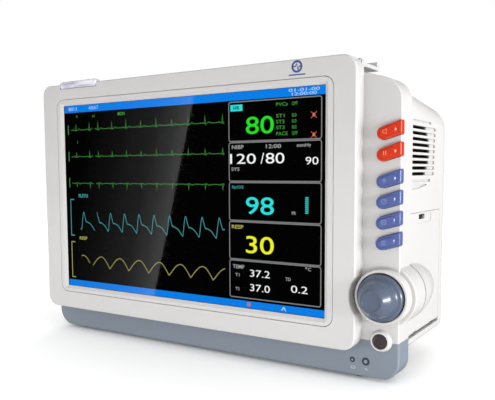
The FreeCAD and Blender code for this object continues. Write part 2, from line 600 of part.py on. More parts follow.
# ---------------------------------------------------------------- recorder in the right side
def make_door():
    """Recorder door with the rear end of the knob boss faired into it, its latch and its hinge pins."""
    outer, skin = CASE_RIGHT - REAR_INSET_SIDE, 2.4
    edge = outer - 1.0
    plate = prism([(DOOR_FRONT, DOOR_HINGE_Z), (DOOR_BACK, DOOR_HINGE_Z), (DOOR_BACK, DOOR_TOP, 2.2),
                   (DOOR_FRONT, DOOR_TOP, 2.2)], edge, outer, "x")
    step = DOOR_LIP + CLEAR
    front, back, top = DOOR_FRONT + step, DOOR_BACK - step, DOOR_TOP - step
    inner = [(front, DOOR_HINGE_Z), (back, DOOR_HINGE_Z), (back, top, 1.8), (front, top, 1.8)]
    plate = plate.fuse(prism(inner, outer - skin, edge, "x"))
    barrel = rod("y", DOOR_HINGE_X, DOOR_HINGE_Z, HINGE_R, DOOR_FRONT + step, DOOR_BACK - step)
    barrel = barrel.fuse(rod("y", DOOR_HINGE_X, DOOR_HINGE_Z, HINGE_R, DOOR_FRONT, DOOR_BACK)
                         .common(box(edge, outer, DOOR_FRONT, DOOR_BACK, DOOR_BOTTOM, DOOR_HINGE_Z)))
    zone = box(edge, 230, DOOR_FRONT, DOOR_BACK, -92, -20)
    zone = zone.fuse(box(outer - skin, edge, DOOR_FRONT + step, DOOR_BACK - step, -92, -20))
    bulge = knob_boss(0.0, BOSS_FRONT, 86.0).common(zone)
    room = box(outer - skin - 1, 230, DOOR_FRONT + 2.4, 90, -92, -20)
    body = plate.fuse(barrel).fuse(bulge).cut(knob_boss(2.4, BOSS_FRONT + 2.4, 82.0).common(room))
    body = body.cut(prism(rect(44.3, 80.3, -16.0, -8.6, 3.6), outer - 0.4, outer + 1, "x"))
    near, far = LATCH_WINDOW
    window = rect(near, far, LATCH_Z - 2.0, DOOR_TOP - DOOR_LIP, 0.8)
    body = body.cut(prism(window, outer - skin - 1, outer + 1, "x"))
    for y in (46.6, 70.3):
        body = body.fuse(box(outer - 5.2, outer - skin, y, y + 1.1, -17.5, -11.0))
    room_r = KNUCKLE_R + CLEAR
    for y0, y1 in KNUCKLES:
        low, high = y0 - CLEAR, y1 + CLEAR
        body = body.cut(rod("y", DOOR_HINGE_X, DOOR_HINGE_Z, room_r, low, high))
        body = body.cut(box(DOOR_HINGE_X - 5, DOOR_HINGE_X, low, high, DOOR_HINGE_Z - 5, DOOR_HINGE_Z + 5))
        body = body.cut(box(DOOR_HINGE_X - 5, outer + 1, low, high, DOOR_HINGE_Z - 5, DOOR_HINGE_Z - 1.2))
        body = body.cut(rod("y", DOOR_HINGE_X, DOOR_HINGE_Z, HINGE_PIN_R + 0.05, y0 - 5, y1 + 5))
    keep("recorder_door", body.removeSplitter())
    back, face = outer - 4.6, outer - skin - 0.3
    slider = box(back, face, near - 4.0, far + 4.6, LATCH_Z - 6.0, LATCH_Z)
    riser = box(back, face, near + 0.4, far - 0.4, LATCH_Z, LATCH_Z + 1.2)
    ledge = box(face, outer - 0.7, near + 0.4, far - 0.4, LATCH_Z + 0.5, LATCH_Z + 1.2)
    keep("door_latch", slider.fuse(riser).fuse(ledge).removeSplitter())
    pins = [rod("y", DOOR_HINGE_X, DOOR_HINGE_Z, HINGE_PIN_R, y0 - 4.4, y1 + 4.4) for y0, y1 in KNUCKLES]
    keep("door_pins", *pins)


def gear(x, z, teeth, y0, y1, phase, bore):
    """Spur gear about an axis along Y, with rounded-off tooth flanks and working backlash."""
    pitch = GEAR_MODULE * teeth / 2
    root, tip = pitch - 1.15 * GEAR_MODULE, pitch + 0.85 * GEAR_MODULE
    step = math.tau / teeth
    points = []
    for i in range(teeth):
        centre = phase + i * step
        for radius, share in ((root, -0.34), (pitch, -0.215), (tip, -0.10),
                              (tip, 0.10), (pitch, 0.215), (root, 0.34)):
            angle = centre + share * step
            points.append((x + radius * math.cos(angle), z + radius * math.sin(angle)))
    return prism(points, y0, y1).cut(rod("y", x, z, bore, y0 - 1, y1 + 1))


def make_recorder():
    """Thermal strip recorder: frame, print head, platen roller and its gear, motor, pinion and paper roll."""
    x0, x1, z0, z1 = RECORDER
    frame = box(x0, x1, 50.0, 52.0, z0, z1).fuse(box(x0, x1, 82.0, 84.0, z0, z1))
    frame = frame.fuse(box(x0, x0 + 2.0, 50.0, 84.0, z0, z1)).fuse(box(x0, x1, 50.0, 84.0, z0, z0 + 2.0))
    for y0, y1 in KNUCKLES:
        knuckle = rod("y", DOOR_HINGE_X, DOOR_HINGE_Z, KNUCKLE_R, y0, y1)
        knuckle = knuckle.fuse(box(x1 - 8.0, DOOR_HINGE_X, y0, y1, DOOR_HINGE_Z - 2.0, DOOR_HINGE_Z + 2.0))
        frame = frame.fuse(knuckle)
        frame = frame.fuse(box(x1 - 8.0, x1, 49.0, 85.0, DOOR_HINGE_Z - 2.0, DOOR_HINGE_Z + 2.0))
    frame = frame.cut(rod("y", DOOR_HINGE_X, DOOR_HINGE_Z, HINGE_PIN_R, 40, 100))
    frame = frame.cut(rod("y", PLATEN_X, PLATEN_Z, 2.05, 40, 100))
    frame = frame.cut(rod("y", ROLL_X, ROLL_Z, 3.05, 40, 100))
    pinion_x = PLATEN_X - GEAR_MODULE * (PLATEN_TEETH + PINION_TEETH) / 2
    frame = frame.cut(rod("y", pinion_x, PLATEN_Z, 2.4, 84.0 - 3, 85))
    for x, z in ((x0 + 6, z1 - 6), (x0 + 6, z0 + 8)):
        frame = frame.cut(rod("y", x, z, 1.6, 40, 100))
    keep("recorder_frame", frame)
    roller = rod("y", PLATEN_X, PLATEN_Z, PLATEN_R, 52.6, 81.4)
    keep("platen_roller", roller.fuse(rod("y", PLATEN_X, PLATEN_Z, 2.0, 48.5, 90.0)))
    keep("platen_gear", gear(PLATEN_X, PLATEN_Z, PLATEN_TEETH, 85.0, 88.5, 0.0, 2.0))
    keep("motor_pinion", gear(pinion_x, PLATEN_Z, PINION_TEETH, 85.0, 88.5, math.pi / PINION_TEETH, 1.0)
         .fuse(rod("y", pinion_x, PLATEN_Z, 1.0, 80.0, 88.5)))
    motor = rod("y", pinion_x, PLATEN_Z, 5.0, 64.0, 81.6)
    motor = motor.cut(rod("y", pinion_x, PLATEN_Z, 1.05, 79.5, 82))
    keep("recorder_motor", motor)
    low = PLATEN_Z + PLATEN_R + 0.4
    head = box(PLATEN_X - 5.0, PLATEN_X + 5.0, 53.0, 81.0, low, low + 2.0)
    head = head.fuse(box(PLATEN_X - 11.0, PLATEN_X - 5.0, 52.0, 82.0, low, z1))
    keep("print_head", head)
    roll = rod("y", ROLL_X, ROLL_Z, ROLL_R, 53.0, 81.0).cut(rod("y", ROLL_X, ROLL_Z, 6.2, 50, 84))
    keep("paper_roll", roll)
    spindle = rod("y", ROLL_X, ROLL_Z, 6.2, 53.0, 81.0).fuse(rod("y", ROLL_X, ROLL_Z, 3.0, 49.0, 85.0))
    keep("paper_spindle", spindle)


# ---------------------------------------------------------------- fan, speaker and rear connectors
def make_fan():
    """Axial fan: square frame and a rotor with pitched blades."""
    half, y0, y1 = 30.0, BACK_Y - WALL - 15.5, BACK_Y - WALL - 0.5
    frame = prism(rect(FAN_X - half, FAN_X + half, FAN_Z - half, FAN_Z + half, 3.0), y0, y1)
    frame = frame.cut(rod("y", FAN_X, FAN_Z, FAN_BORE, y0 + 2.0, y1 + 1))
    frame = frame.cut(rod("y", FAN_X, FAN_Z, FAN_BORE, y0 - 1, y0 + 1))
    ring = rod("y", FAN_X, FAN_Z, FAN_BORE, y0 - 1, y0 + 2.0)
    ring = ring.cut(rod("y", FAN_X, FAN_Z, 12.0, y0 - 1, y0 + 2.0))
    for i in range(4):
        arm = box(10.0, 29.5, y0, y0 + 1.8, -1.5, 1.5)
        arm.translate(Vector(FAN_X, 0, FAN_Z))
        arm.rotate(Vector(FAN_X, 0, FAN_Z), Vector(0, 1, 0), 45 + 90 * i)
        ring = ring.cut(arm)
    frame = frame.cut(ring)
    frame = frame.cut(rod("y", FAN_X, FAN_Z, 1.55, y0 - 1, y0 + 3))
    for dx in (-25.0, 25.0):
        for dz in (-25.0, 25.0):
            frame = frame.cut(rod("y", FAN_X + dx, FAN_Z + dz, 2.1, y0 - 1, y1 + 1))
    keep("fan_frame", frame)
    rotor = rod("y", FAN_X, FAN_Z, 12.5, y0 + 2.6, y1 - 1.0)
    rotor = rotor.fuse(rod("y", FAN_X, FAN_Z, 1.5, y0 + 0.4, y0 + 4))
    for i in range(7):
        blade = box(11.0, 27.3, -0.7, 0.7, -4.4, 4.4)
        blade.rotate(Vector(0, 0, 0), Vector(1, 0, 0), 52)
        blade.translate(Vector(FAN_X, (y0 + y1) / 2 + 0.6, FAN_Z))
        blade.rotate(Vector(FAN_X, 0, FAN_Z), Vector(0, 1, 0), i * 360 / 7)
        rotor = rotor.fuse(blade)
    keep("fan_rotor", rotor)


def make_speaker():
    """Loudspeaker behind the round hole pattern: basket, magnet and cone."""
    y = BACK_Y - WALL - 0.3
    basket = turned(SPEAKER_X, SPEAKER_Z, [(0, y - 18), (13, y - 18), (13, y - 12), (16, y - 10), (25, y - 3),
                                           (27, y - 2), (27, y), (24, y), (9, y - 8), (0, y - 8)])
    keep("speaker", basket)


def make_rear_panel():
    """Connector plate in the rear pocket: mains inlet, fuse caps, earth stud and data sockets."""
    px0, px1, pz0, pz1 = POCKET
    y0, y1 = POCKET_FLOOR, POCKET_FLOOR + 1.5
    middle = (pz0 + pz1) / 2
    plate = prism(rect(px0 + 0.5, px1 - 0.5, pz0 + 0.5, pz1 - 0.5, 2.5), y0, y1)
    inlet_x, network_x, video_x, usb_x, stud_x, fuse_x = -90.0, -8.0, 20.0, -27.0, -44.0, -60.0
    holes = [prism(rect(inlet_x - 13.6, inlet_x + 13.6, middle - 10, middle + 10, 3), y0 - 1, y1 + 1),
             box(network_x - 8.2, network_x + 8.2, y0 - 1, y1 + 1, middle - 7.2, middle + 7.2),
             box(usb_x - 3.7, usb_x + 3.7, y0 - 1, y1 + 1, middle - 7.4, middle + 7.4),
             prism(rect(video_x - 9.0, video_x + 9.0, middle - 5.6, middle + 5.6, 2.4), y0 - 1, y1 + 1),
             rod("y", stud_x, middle, 3.05, y0 - 1, y1 + 1)]
    for z in (middle - 9.0, middle + 9.0):
        holes.append(rod("y", fuse_x, z, 6.1, y0 - 1, y1 + 1))
    for hole in holes:
        plate = plate.cut(hole)
    keep("rear_panel", plate)
    inlet = prism(rect(inlet_x - 13.4, inlet_x + 13.4, middle - 9.8, middle + 9.8, 3), y0 - 19, y1)
    plate_edge = rect(inlet_x - 20.5, inlet_x + 20.5, middle - 13.5, middle + 13.5, 3)
    inlet = inlet.fuse(prism(plate_edge, y1, y1 + 2.6))
    socket = [(-12.0, -8.0, 2), (12.0, -8.0, 2), (12.0, 4.0, 1),
              (8.0, 8.0, 1), (-8.0, 8.0, 1), (-12.0, 4.0, 1)]
    socket = [(inlet_x + dx, middle + dz, corner) for dx, dz, corner in socket]
    inlet = inlet.cut(prism(socket, y0 - 15, y1 + 4))
    pins = []
    for dx, dz in ((-7.0, -2.0), (7.0, -2.0), (0.0, 2.0)):
        x, z = inlet_x + dx, middle + dz
        pins.append(box(x - 1.0, x + 1.0, y0 - 15, y0 - 1.5, z - 2.0, z + 2.0))
    keep("power_inlet", inlet, *pins)
    caps = []
    for z in (middle - 9.0, middle + 9.0):
        cap = rod("y", fuse_x, z, 6.0, y0 - 14, y1).fuse(rod("y", fuse_x, z, 7.4, y1, y1 + 4.2))
        cap = soften(cap, 0.8, on_plane("y", y1 + 4.2))
        caps.append(cap.cut(box(fuse_x - 4.4, fuse_x + 4.4, y1 + 3.0, y1 + 6, z - 0.8, z + 0.8)))
    keep("fuse_caps", *caps)
    stud = rod("y", stud_x, middle, 3.0, y0 - 6, y1 + 6.5)
    nut = prism([(stud_x + 5.5 * math.cos(math.radians(a)), middle + 5.5 * math.sin(math.radians(a)))
                 for a in range(0, 360, 60)], y1, y1 + 3.2)
    keep("earth_stud", stud.fuse(nut))
    network = box(network_x - 8.0, network_x + 8.0, y0 - 13, y1 + 0.6, middle - 7.0, middle + 7.0)
    network = network.cut(box(network_x - 5.9, network_x + 5.9, y0 - 9.5, y1 + 2, middle - 4.6, middle + 4.0))
    usb = box(usb_x - 3.5, usb_x + 3.5, y0 - 13, y1 + 0.6, middle - 7.2, middle + 7.2)
    usb = usb.cut(box(usb_x - 2.6, usb_x + 2.6, y0 - 10, y1 + 2, middle - 6.2, middle + 6.2))
    usb = usb.fuse(box(usb_x - 1.6, usb_x - 0.4, y0 - 10, y1, middle - 5.6, middle + 5.6))
    video = prism([(video_x - 8.6, middle - 5.2, 2.2), (video_x + 8.6, middle - 5.2, 2.2),
                   (video_x + 7.4, middle + 5.2, 2.2), (video_x - 7.4, middle + 5.2, 2.2)], y0 - 9, y1 + 5.5)
    for row, count in ((3.0, 5), (0.0, 5), (-3.0, 5)):
        for i in range(count):
            video = video.cut(rod("y", video_x + (i - 2) * 2.6, middle + row, 0.6, y1 + 1.5, y1 + 7))
    keep("data_sockets", network, usb, video)


# ---------------------------------------------------------------- sensor sockets in the left side
def round_socket(y, z, radius, contacts):
    """Round socket: a collar, a deep well and a ring of contacts on its floor."""
    floor = SENSOR_FACE + 10.5
    body = rod("x", y, z, radius, SENSOR_FACE - 1.4, SENSOR_BACK + 14)
    body = body.fuse(rod("x", y, z, radius + 1.6, SENSOR_FACE - 1.4, SENSOR_FACE))
    body = body.cut(rod("x", y, z, radius - 2.2, SENSOR_FACE - 2, floor))
    for i in range(contacts):
        angle, reach = math.tau * i / contacts, radius - 5.2
        body = body.fuse(rod("x", y + reach * math.cos(angle), z + reach * math.sin(angle), 0.6,
                             floor - 6.5, floor + 0.5))
    return body


def make_sensor_panel():
    """Plate in the left side wall with the patient lead sockets and the cuff hose fitting."""
    x0, wall, x1 = SENSOR_FACE, CASE_LEFT + REAR_INSET_SIDE + WALL, SENSOR_BACK
    y0, y1, z0, z1 = SENSOR_WINDOW
    panel = prism(rect(y0 + 0.4, y1 - 0.4, z0 + 0.4, z1 - 0.4, 4.6), x0, x1, "x")
    panel = panel.fuse(prism(rect(y0 - 2.5, y1 + 1.0, z0 - 4.0, z1 + 4.0, 6.0), wall, x1, "x"))
    for y, z, radius in SENSOR_SPOTS:
        panel = panel.cut(rod("x", y, z, radius + 0.1, x0 - 1, x1 + 3))
    keep("sensor_panel", panel)
    ecg, oximeter, upper, lower, first, second, cuff = SENSOR_SPOTS
    keep("ecg_socket", round_socket(*ecg, 8))
    keep("oximeter_socket", round_socket(*oximeter, 6))
    keep("pressure_sockets", round_socket(*upper, 4), round_socket(*lower, 4))
    jacks = []
    for y, z, radius in (first, second):
        jack = rod("x", y, z, radius, x0 - 0.8, x1 + 12).fuse(rod("x", y, z, radius + 1.2, x0 - 0.8, x0))
        jacks.append(jack.cut(rod("x", y, z, 1.8, x0 - 1, x1 + 8)))
    keep("temperature_jacks", *jacks)
    y, z, radius = cuff
    hose = rod("x", y, z, radius, x0, x1 + 12).fuse(rod("x", y, z, radius + 1.6, x0 - 1.6, x0))
    hose = hose.fuse(rod("x", y, z, radius - 1.4, x0 - 3.4, x0))
    keep("cuff_fitting", hose.cut(rod("x", y, z, 2.2, x0 - 4, x1 + 8)))


# ---------------------------------------------------------------- inside the case
def board_with_parts(plate, parts):
    """A circuit board with the parts that stand on it."""
    for part in parts:
        plate = plate.fuse(part)
    return plate


def make_internals():
    """Chassis, boards, power supply and the cuff pump with its valve."""
    chassis = prism(rect(-146.0, 118.0, -90.0, 74.0, 3.0), 31.0, 32.5)
    for i in range(5):
        x = -120.0 + i * 52.0
        chassis = chassis.cut(prism(rect(x - 14, x + 14, 52.0, 62.0, 3.0), 30, 34))
    for x, z in rear_screw_places():
        chassis = chassis.cut(rod("y", x, z, 5.4, 30, 34))
    flange = box(-60.0, 100.0, 32.5, 56.0, -54.5, -53.0)
    keep("chassis", chassis.fuse(flange))
    chips = [box(-20.0, 8.0, 41.6, 44.6, 10.0, 38.0), box(40.0, 66.0, 41.6, 43.6, -2.0, 12.0),
             box(40.0, 66.0, 41.6, 43.6, 18.0, 32.0), box(-70.0, -50.0, 41.6, 46.6, 52.0, 60.0),
             box(86.0, 98.0, 41.6, 49.6, -30.0, 0.0), box(-60.0, -42.0, 41.6, 44.0, -30.0, -12.0)]
    standoffs = [rod("y", x, z, 2.6, 32.5, 40.0) for x in (-80.0, 106.0) for z in (-42.0, 62.0)]
    plate = box(-86.0, 112.0, 40.0, 41.6, -48.0, 68.0)
    plate = plate.cut(rod("y", 14.0, 36.0, 5.6, 38, 43))
    keep("main_board", board_with_parts(plate, chips + standoffs))
    module = box(-132.0, -130.2, 40.0, 106.0, -80.0, 2.0)
    parts = [box(-130.2, -124.0, 60.0, 76.0, -30.0, -14.0), box(-130.2, -125.0, 72.0, 92.0, -60.0, -40.0)]
    parts += [rod("x", y, z, radius - 2.0, -135.0, -132.0) for y, z, radius in SENSOR_SPOTS[:6]]
    keep("parameter_board", board_with_parts(module, parts))
    supply = box(-46.0, 60.0, 62.0, 100.0, REAR_BOTTOM + WALL + 1.5, -52.0)
    for i in range(8):
        x = -37.0 + i * 12.5
        supply = supply.cut(prism(rect(x - 2, x + 2, -90.0, -64.0, 1.8), 60, 64))
    keep("power_supply", supply)
    pump = rod("x", 70.0, -76.0, 13.0, -109.0, -76.0).fuse(rod("x", 70.0, -76.0, 9.0, -76.0, -58.0))
    pump = pump.fuse(box(-106.0, -78.0, 60.0, 80.0, REAR_BOTTOM + WALL, -86.0))
    valve = rod("x", 100.0, -86.0, 6.5, -84.0, -62.0)
    valve = valve.fuse(box(-84.0, -62.0, 95.0, 105.0, REAR_BOTTOM + WALL, -90.0))
    keep("cuff_pump", pump, valve)


def export_all():
    """Moves every piece to the row's origin and writes one STEP file per node."""
    os.makedirs("parts", exist_ok=True)
    for name, shape in NODES.items():
        moved = shape.copy()
        moved.translate(ORIGIN * -1)
        moved.exportStep(os.path.join("parts", name + ".step"))


def main():
    make_screen()
    make_bezel()
    make_alarm_lamp()
    make_front_housing()
    make_trim()
    make_keys()
    make_control_board()
    make_power_button()
    make_knob()
    make_rear_housing()
    make_base()
    make_handle()
    make_door()
    make_recorder()
    make_fan()
    make_speaker()
    make_rear_panel()
    make_sensor_panel()
    make_internals()
    export_all()


main()
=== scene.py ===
"""Looks of the patient monitor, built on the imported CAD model.

Places are in millimetres from the centre of the lit screen area, as in the CAD source: +X is to
the right of a person facing the screen, +Y runs into the case and +Z is up. pt() turns them into
the row's frame in metres.
"""
import json
import math
import bmesh
import bpy
from mathutils import Matrix, Vector


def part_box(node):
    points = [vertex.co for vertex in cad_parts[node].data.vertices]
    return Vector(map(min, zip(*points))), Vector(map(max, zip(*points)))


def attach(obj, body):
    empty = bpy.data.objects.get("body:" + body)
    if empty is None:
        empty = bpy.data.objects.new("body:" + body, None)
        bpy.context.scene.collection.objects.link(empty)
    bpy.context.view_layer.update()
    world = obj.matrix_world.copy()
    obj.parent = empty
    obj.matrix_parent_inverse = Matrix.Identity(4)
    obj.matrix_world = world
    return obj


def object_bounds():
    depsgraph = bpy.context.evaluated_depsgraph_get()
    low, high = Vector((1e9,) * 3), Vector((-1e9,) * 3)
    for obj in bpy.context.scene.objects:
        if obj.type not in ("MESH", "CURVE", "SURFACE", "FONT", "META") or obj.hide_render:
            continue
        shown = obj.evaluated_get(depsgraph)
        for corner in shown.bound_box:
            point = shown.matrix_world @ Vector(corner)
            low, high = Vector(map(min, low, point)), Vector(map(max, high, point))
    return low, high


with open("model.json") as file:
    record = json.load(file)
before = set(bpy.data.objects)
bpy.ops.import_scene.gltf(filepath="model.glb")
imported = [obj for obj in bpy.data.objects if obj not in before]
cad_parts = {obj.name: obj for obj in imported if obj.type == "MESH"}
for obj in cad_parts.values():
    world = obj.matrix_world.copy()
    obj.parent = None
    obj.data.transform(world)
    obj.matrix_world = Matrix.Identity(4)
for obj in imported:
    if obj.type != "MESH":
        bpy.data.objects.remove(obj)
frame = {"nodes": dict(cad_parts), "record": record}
cad_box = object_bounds()
nodes = frame["nodes"]

MM = 0.001
window_low, window_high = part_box("display_window")
# The lit area lies behind the middle of the display window's back face.
ZERO = Vector(((window_low[0] + window_high[0]) / 2, window_high[1],
               (window_low[2] + window_high[2]) / 2))


def pt(x, y, z):
    """A place in the row's frame, in metres."""
    return ZERO + Vector((x, y, z)) * MM


# ---------------------------------------------------------------- materials
MIX_FIRST, MIX_SECOND, MIX_RESULT = 6, 7, 2     # the colour sockets of a Mix node
FINE_BUMP, FINER_BUMP = 0.0002, 0.0001          # heights in metres


def new_material(name):
    """A node material with one Principled shader. Returns the tree, the shader and the material."""
    material = bpy.data.materials.new(name)
    material.use_nodes = True
    tree = material.node_tree
    return tree, tree.nodes["Principled BSDF"], material


def object_noise(tree, scale, detail, roughness=0.55, stretch=None):
    """Noise over the object's own space, in metres. Stretch squeezes it along the axes."""
    place = tree.nodes.new("ShaderNodeTexCoord").outputs["Object"]
    if stretch:
        mapping = tree.nodes.new("ShaderNodeMapping")
        mapping.inputs["Scale"].default_value = stretch
        tree.links.new(place, mapping.inputs["Vector"])
        place = mapping.outputs["Vector"]
    noise = tree.nodes.new("ShaderNodeTexNoise")
    noise.inputs["Scale"].default_value = scale
    noise.inputs["Detail"].default_value = detail
    noise.inputs["Roughness"].default_value = roughness
    tree.links.new(place, noise.inputs["Vector"])
    return noise.outputs["Fac"]


def ranged(tree, value, low, high, from_low=0.3, from_high=0.7):
    """A value moved from one range to another. The usual first range is that of noise."""
    node = tree.nodes.new("ShaderNodeMapRange")
    node.inputs["From Min"].default_value = from_low
    node.inputs["From Max"].default_value = from_high
    node.inputs["To Min"].default_value = low
    node.inputs["To Max"].default_value = high
    tree.links.new(value, node.inputs["Value"])
    return node.outputs["Result"]


def paint(tree, shader, factor, first, second):
    """Gives the shader a colour between two, by a factor."""
    mix = tree.nodes.new("ShaderNodeMix")
    mix.data_type = "RGBA"
    mix.inputs[MIX_FIRST].default_value = (*first, 1.0)
    mix.inputs[MIX_SECOND].default_value = (*second, 1.0)
    tree.links.new(factor, mix.inputs["Factor"])
    tree.links.new(mix.outputs[MIX_RESULT], shader.inputs["Base Color"])


def roughen(tree, shader, value, low, high):
    """Gives the shader a roughness between two, by a noise value."""
    tree.links.new(ranged(tree, value, low, high), shader.inputs["Roughness"])


def add_bump(tree, shader, height, strength, distance):
    """Gives the shader a bump from a height."""
    bump = tree.nodes.new("ShaderNodeBump")
    bump.inputs["Strength"].default_value = strength
    bump.inputs["Distance"].default_value = distance
    tree.links.new(height, bump.inputs["Height"])
    tree.links.new(bump.outputs["Normal"], shader.inputs["Normal"])


def scaled(colour, factor):
    """A lighter or darker colour."""
    return tuple(min(1.0, c * factor) for c in colour)


def plastic(name, colour, rough, grain, coat=0.0, specular=0.45):
    """Moulded plastic: fine spark-eroded grain, a slow drift of tone and uneven gloss."""
    drift, gloss_spread = 0.03, 0.05
    tree, shader, material = new_material(name)
    slow = object_noise(tree, scale=14.0, detail=3.0)
    paint(tree, shader, slow, scaled(colour, 1.0 - drift), scaled(colour, 1.0 + drift))
    fine = object_noise(tree, scale=2600.0, detail=2.0)
    roughen(tree, shader, fine, rough - gloss_spread, rough + gloss_spread)
    add_bump(tree, shader, fine, grain, FINE_BUMP)
    shader.inputs["Specular IOR Level"].default_value = specular
    shader.inputs["Coat Weight"].default_value = coat
    shader.inputs["Coat Roughness"].default_value = 0.08
    return material


def metal(name, colour, rough):
    """Bare metal with fine draw lines."""
    line_shade = 0.86
    tree, shader, material = new_material(name)
    lines = object_noise(tree, 90.0, 5.0, roughness=0.5, stretch=(1.0, 1.0, 60.0))
    paint(tree, shader, lines, scaled(colour, line_shade), colour)
    roughen(tree, shader, lines, rough - 0.08, rough + 0.1)
    add_bump(tree, shader, lines, 0.08, FINE_BUMP)
    shader.inputs["Metallic"].default_value = 1.0
    return material


def circuit_board(name):
    """Solder-masked board with copper tracks showing faintly through."""
    mask_on_copper, mask_on_board = (0.05, 0.26, 0.10), (0.015, 0.11, 0.045)
    tree, shader, material = new_material(name)
    place = tree.nodes.new("ShaderNodeTexCoord")
    cells = tree.nodes.new("ShaderNodeTexVoronoi")
    cells.distance = "MANHATTAN"
    cells.inputs["Scale"].default_value = 240.0
    tree.links.new(place.outputs["Object"], cells.inputs["Vector"])
    tracks = ranged(tree, cells.outputs["Distance"], 0.0, 1.0, from_low=0.25, from_high=0.32)
    paint(tree, shader, tracks, mask_on_copper, mask_on_board)
    add_bump(tree, shader, tracks, 0.25, FINER_BUMP)
    shader.inputs["Roughness"].default_value = 0.38
    return material


def rubber(name, colour):
    """Matt rubber with a dusty bloom."""
    dust = 0.03
    tree, shader, material = new_material(name)
    bloom = object_noise(tree, scale=180.0, detail=6.0)
    paint(tree, shader, bloom, colour, tuple(c + dust for c in colour))
    roughen(tree, shader, bloom, 0.68, 0.85)
    add_bump(tree, shader, bloom, 0.2, FINE_BUMP)
    return material


def paper(name):
    """Thermal paper: faint fibre mottling."""
    tree, shader, material = new_material(name)
    fibre = object_noise(tree, scale=900.0, detail=5.0)
    paint(tree, shader, fibre, (0.86, 0.86, 0.84), (0.93, 0.93, 0.91))
    add_bump(tree, shader, fibre, 0.15, FINER_BUMP)
    shader.inputs["Roughness"].default_value = 0.6
    return material


def clear_sheet(name):
    """The display window: clear sheet with a faint fine texture in its gloss."""
    tree, shader, material = new_material(name)
    fine = object_noise(tree, scale=300.0, detail=3.0)
    roughen(tree, shader, fine, 0.015, 0.04)
    shader.inputs["Base Color"].default_value = (0.97, 0.98, 0.99, 1.0)
    shader.inputs["Transmission Weight"].default_value = 1.0
    shader.inputs["IOR"].default_value = 1.45
    return material


def lamp_clear(name):
    """Clear moulded lamp lens: milky violet body with the paler streaks of its light guides."""
    tree, shader, material = new_material(name)
    ribs = object_noise(tree, 420.0, 2.0, roughness=0.5, stretch=(0.12, 1.0, 1.0))
    streaks = ranged(tree, ribs, 0.0, 1.0, from_low=0.36, from_high=0.62)
    paint(tree, shader, streaks, (0.50, 0.48, 0.60), (0.93, 0.92, 1.0))
    roughen(tree, shader, ribs, 0.05, 0.14)
    shader.inputs["Transmission Weight"].default_value = 0.35
    shader.inputs["IOR"].default_value = 1.49
    return material


def lit(name, colour):
    """A lit area of the screen, with the faint unevenness of its pixels."""
    tree, shader, material = new_material(name)
    pixels = object_noise(tree, scale=1800.0, detail=2.0, roughness=0.5)
    tree.links.new(ranged(tree, pixels, 0.9, 1.1), shader.inputs["Emission Strength"])
    shader.inputs["Base Color"].default_value = (0.0, 0.0, 0.0, 1.0)
    shader.inputs["Emission Color"].default_value = (*colour, 1.0)
    shader.inputs["Specular IOR Level"].default_value = 0.0
    shader.inputs["Roughness"].default_value = 0.9
    return material


# Each look's maker and what it takes after the name: for a plastic the colour, the roughness, the
# grain, then the coat and the specular level where they aren't the usual ones.
LOOKS = {
    "housing_cream": (plastic, (0.440, 0.430, 0.423), 0.38, 0.10),
    "handle_grey": (plastic, (0.43, 0.43, 0.43), 0.42, 0.14),
    "trim_slate": (plastic, (0.160, 0.187, 0.222), 0.40, 0.16),
    "key_red": (plastic, (0.45, 0.026, 0.006), 0.24, 0.05),
    "key_blue": (plastic, (0.066, 0.088, 0.235), 0.24, 0.05),
    "knob_slate": (plastic, (0.070, 0.087, 0.126), 0.28, 0.04, 0.2),
    "button_dark": (plastic, (0.040, 0.030, 0.036), 0.16, 0.02, 0.5),
    "lamp_clear": (lamp_clear,),
    "lens_dark": (plastic, (0.040, 0.047, 0.060), 0.14, 0.02, 0.5),
    "window_glass": (clear_sheet,),
    "panel_black": (plastic, (0.004, 0.004, 0.005), 0.5, 0.02, 0.0, 0.0),
    "board_green": (circuit_board,),
    "battery_wrap": (plastic, (0.03, 0.08, 0.20), 0.3, 0.05),
    "sheet_steel": (metal, (0.60, 0.61, 0.62), 0.36),
    "pin_steel": (metal, (0.55, 0.55, 0.56), 0.28),
    "connector_steel": (metal, (0.66, 0.66, 0.67), 0.24),
    "plate_aluminium": (metal, (0.76, 0.76, 0.77), 0.3),
    "brass": (metal, (0.78, 0.56, 0.22), 0.26),
    "connector_grey": (plastic, (0.19, 0.20, 0.22), 0.4, 0.12),
    "socket_green": (plastic, (0.02, 0.22, 0.07), 0.3, 0.06),
    "socket_blue": (plastic, (0.02, 0.10, 0.36), 0.3, 0.06),
    "socket_red": (plastic, (0.42, 0.02, 0.02), 0.3, 0.06),
    "plastic_black": (plastic, (0.012, 0.012, 0.014), 0.45, 0.15),
    "rubber_grey": (rubber, (0.07, 0.07, 0.08)),
    "rubber_black": (rubber, (0.015, 0.015, 0.016)),
    "paper_white": (paper,),
    "symbol_pale": (plastic, (0.42, 0.43, 0.48), 0.5, 0.02),
    "sign_on_red": (plastic, (0.66, 0.15, 0.08), 0.5, 0.02),
    "sign_on_blue": (plastic, (0.17, 0.21, 0.38), 0.5, 0.02),
    "mark_blue": (plastic, (0.035, 0.060, 0.190), 0.4, 0.02),
    "lamp_off": (plastic, (0.20, 0.22, 0.25), 0.2, 0.02, 0.4),
}
looks = {name: maker(name, *values) for name, (maker, *values) in LOOKS.items()}
for entry in frame["record"]["subparts"]:
    node = nodes[entry["node"]]
    node.data.materials.clear()
    node.data.materials.append(looks[entry["material_slot"]])


# ---------------------------------------------------------------- mesh pieces
def add_object(name, data):
    """A new object in the scene."""
    thing = bpy.data.objects.new(name, data)
    bpy.context.scene.collection.objects.link(thing)
    return thing


def piece(name, mesh, material, body):
    """Puts a mesh in the scene as a piece that rides on a body."""
    thing = add_object(name, mesh)
    mesh.materials.append(material)
    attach(thing, body)


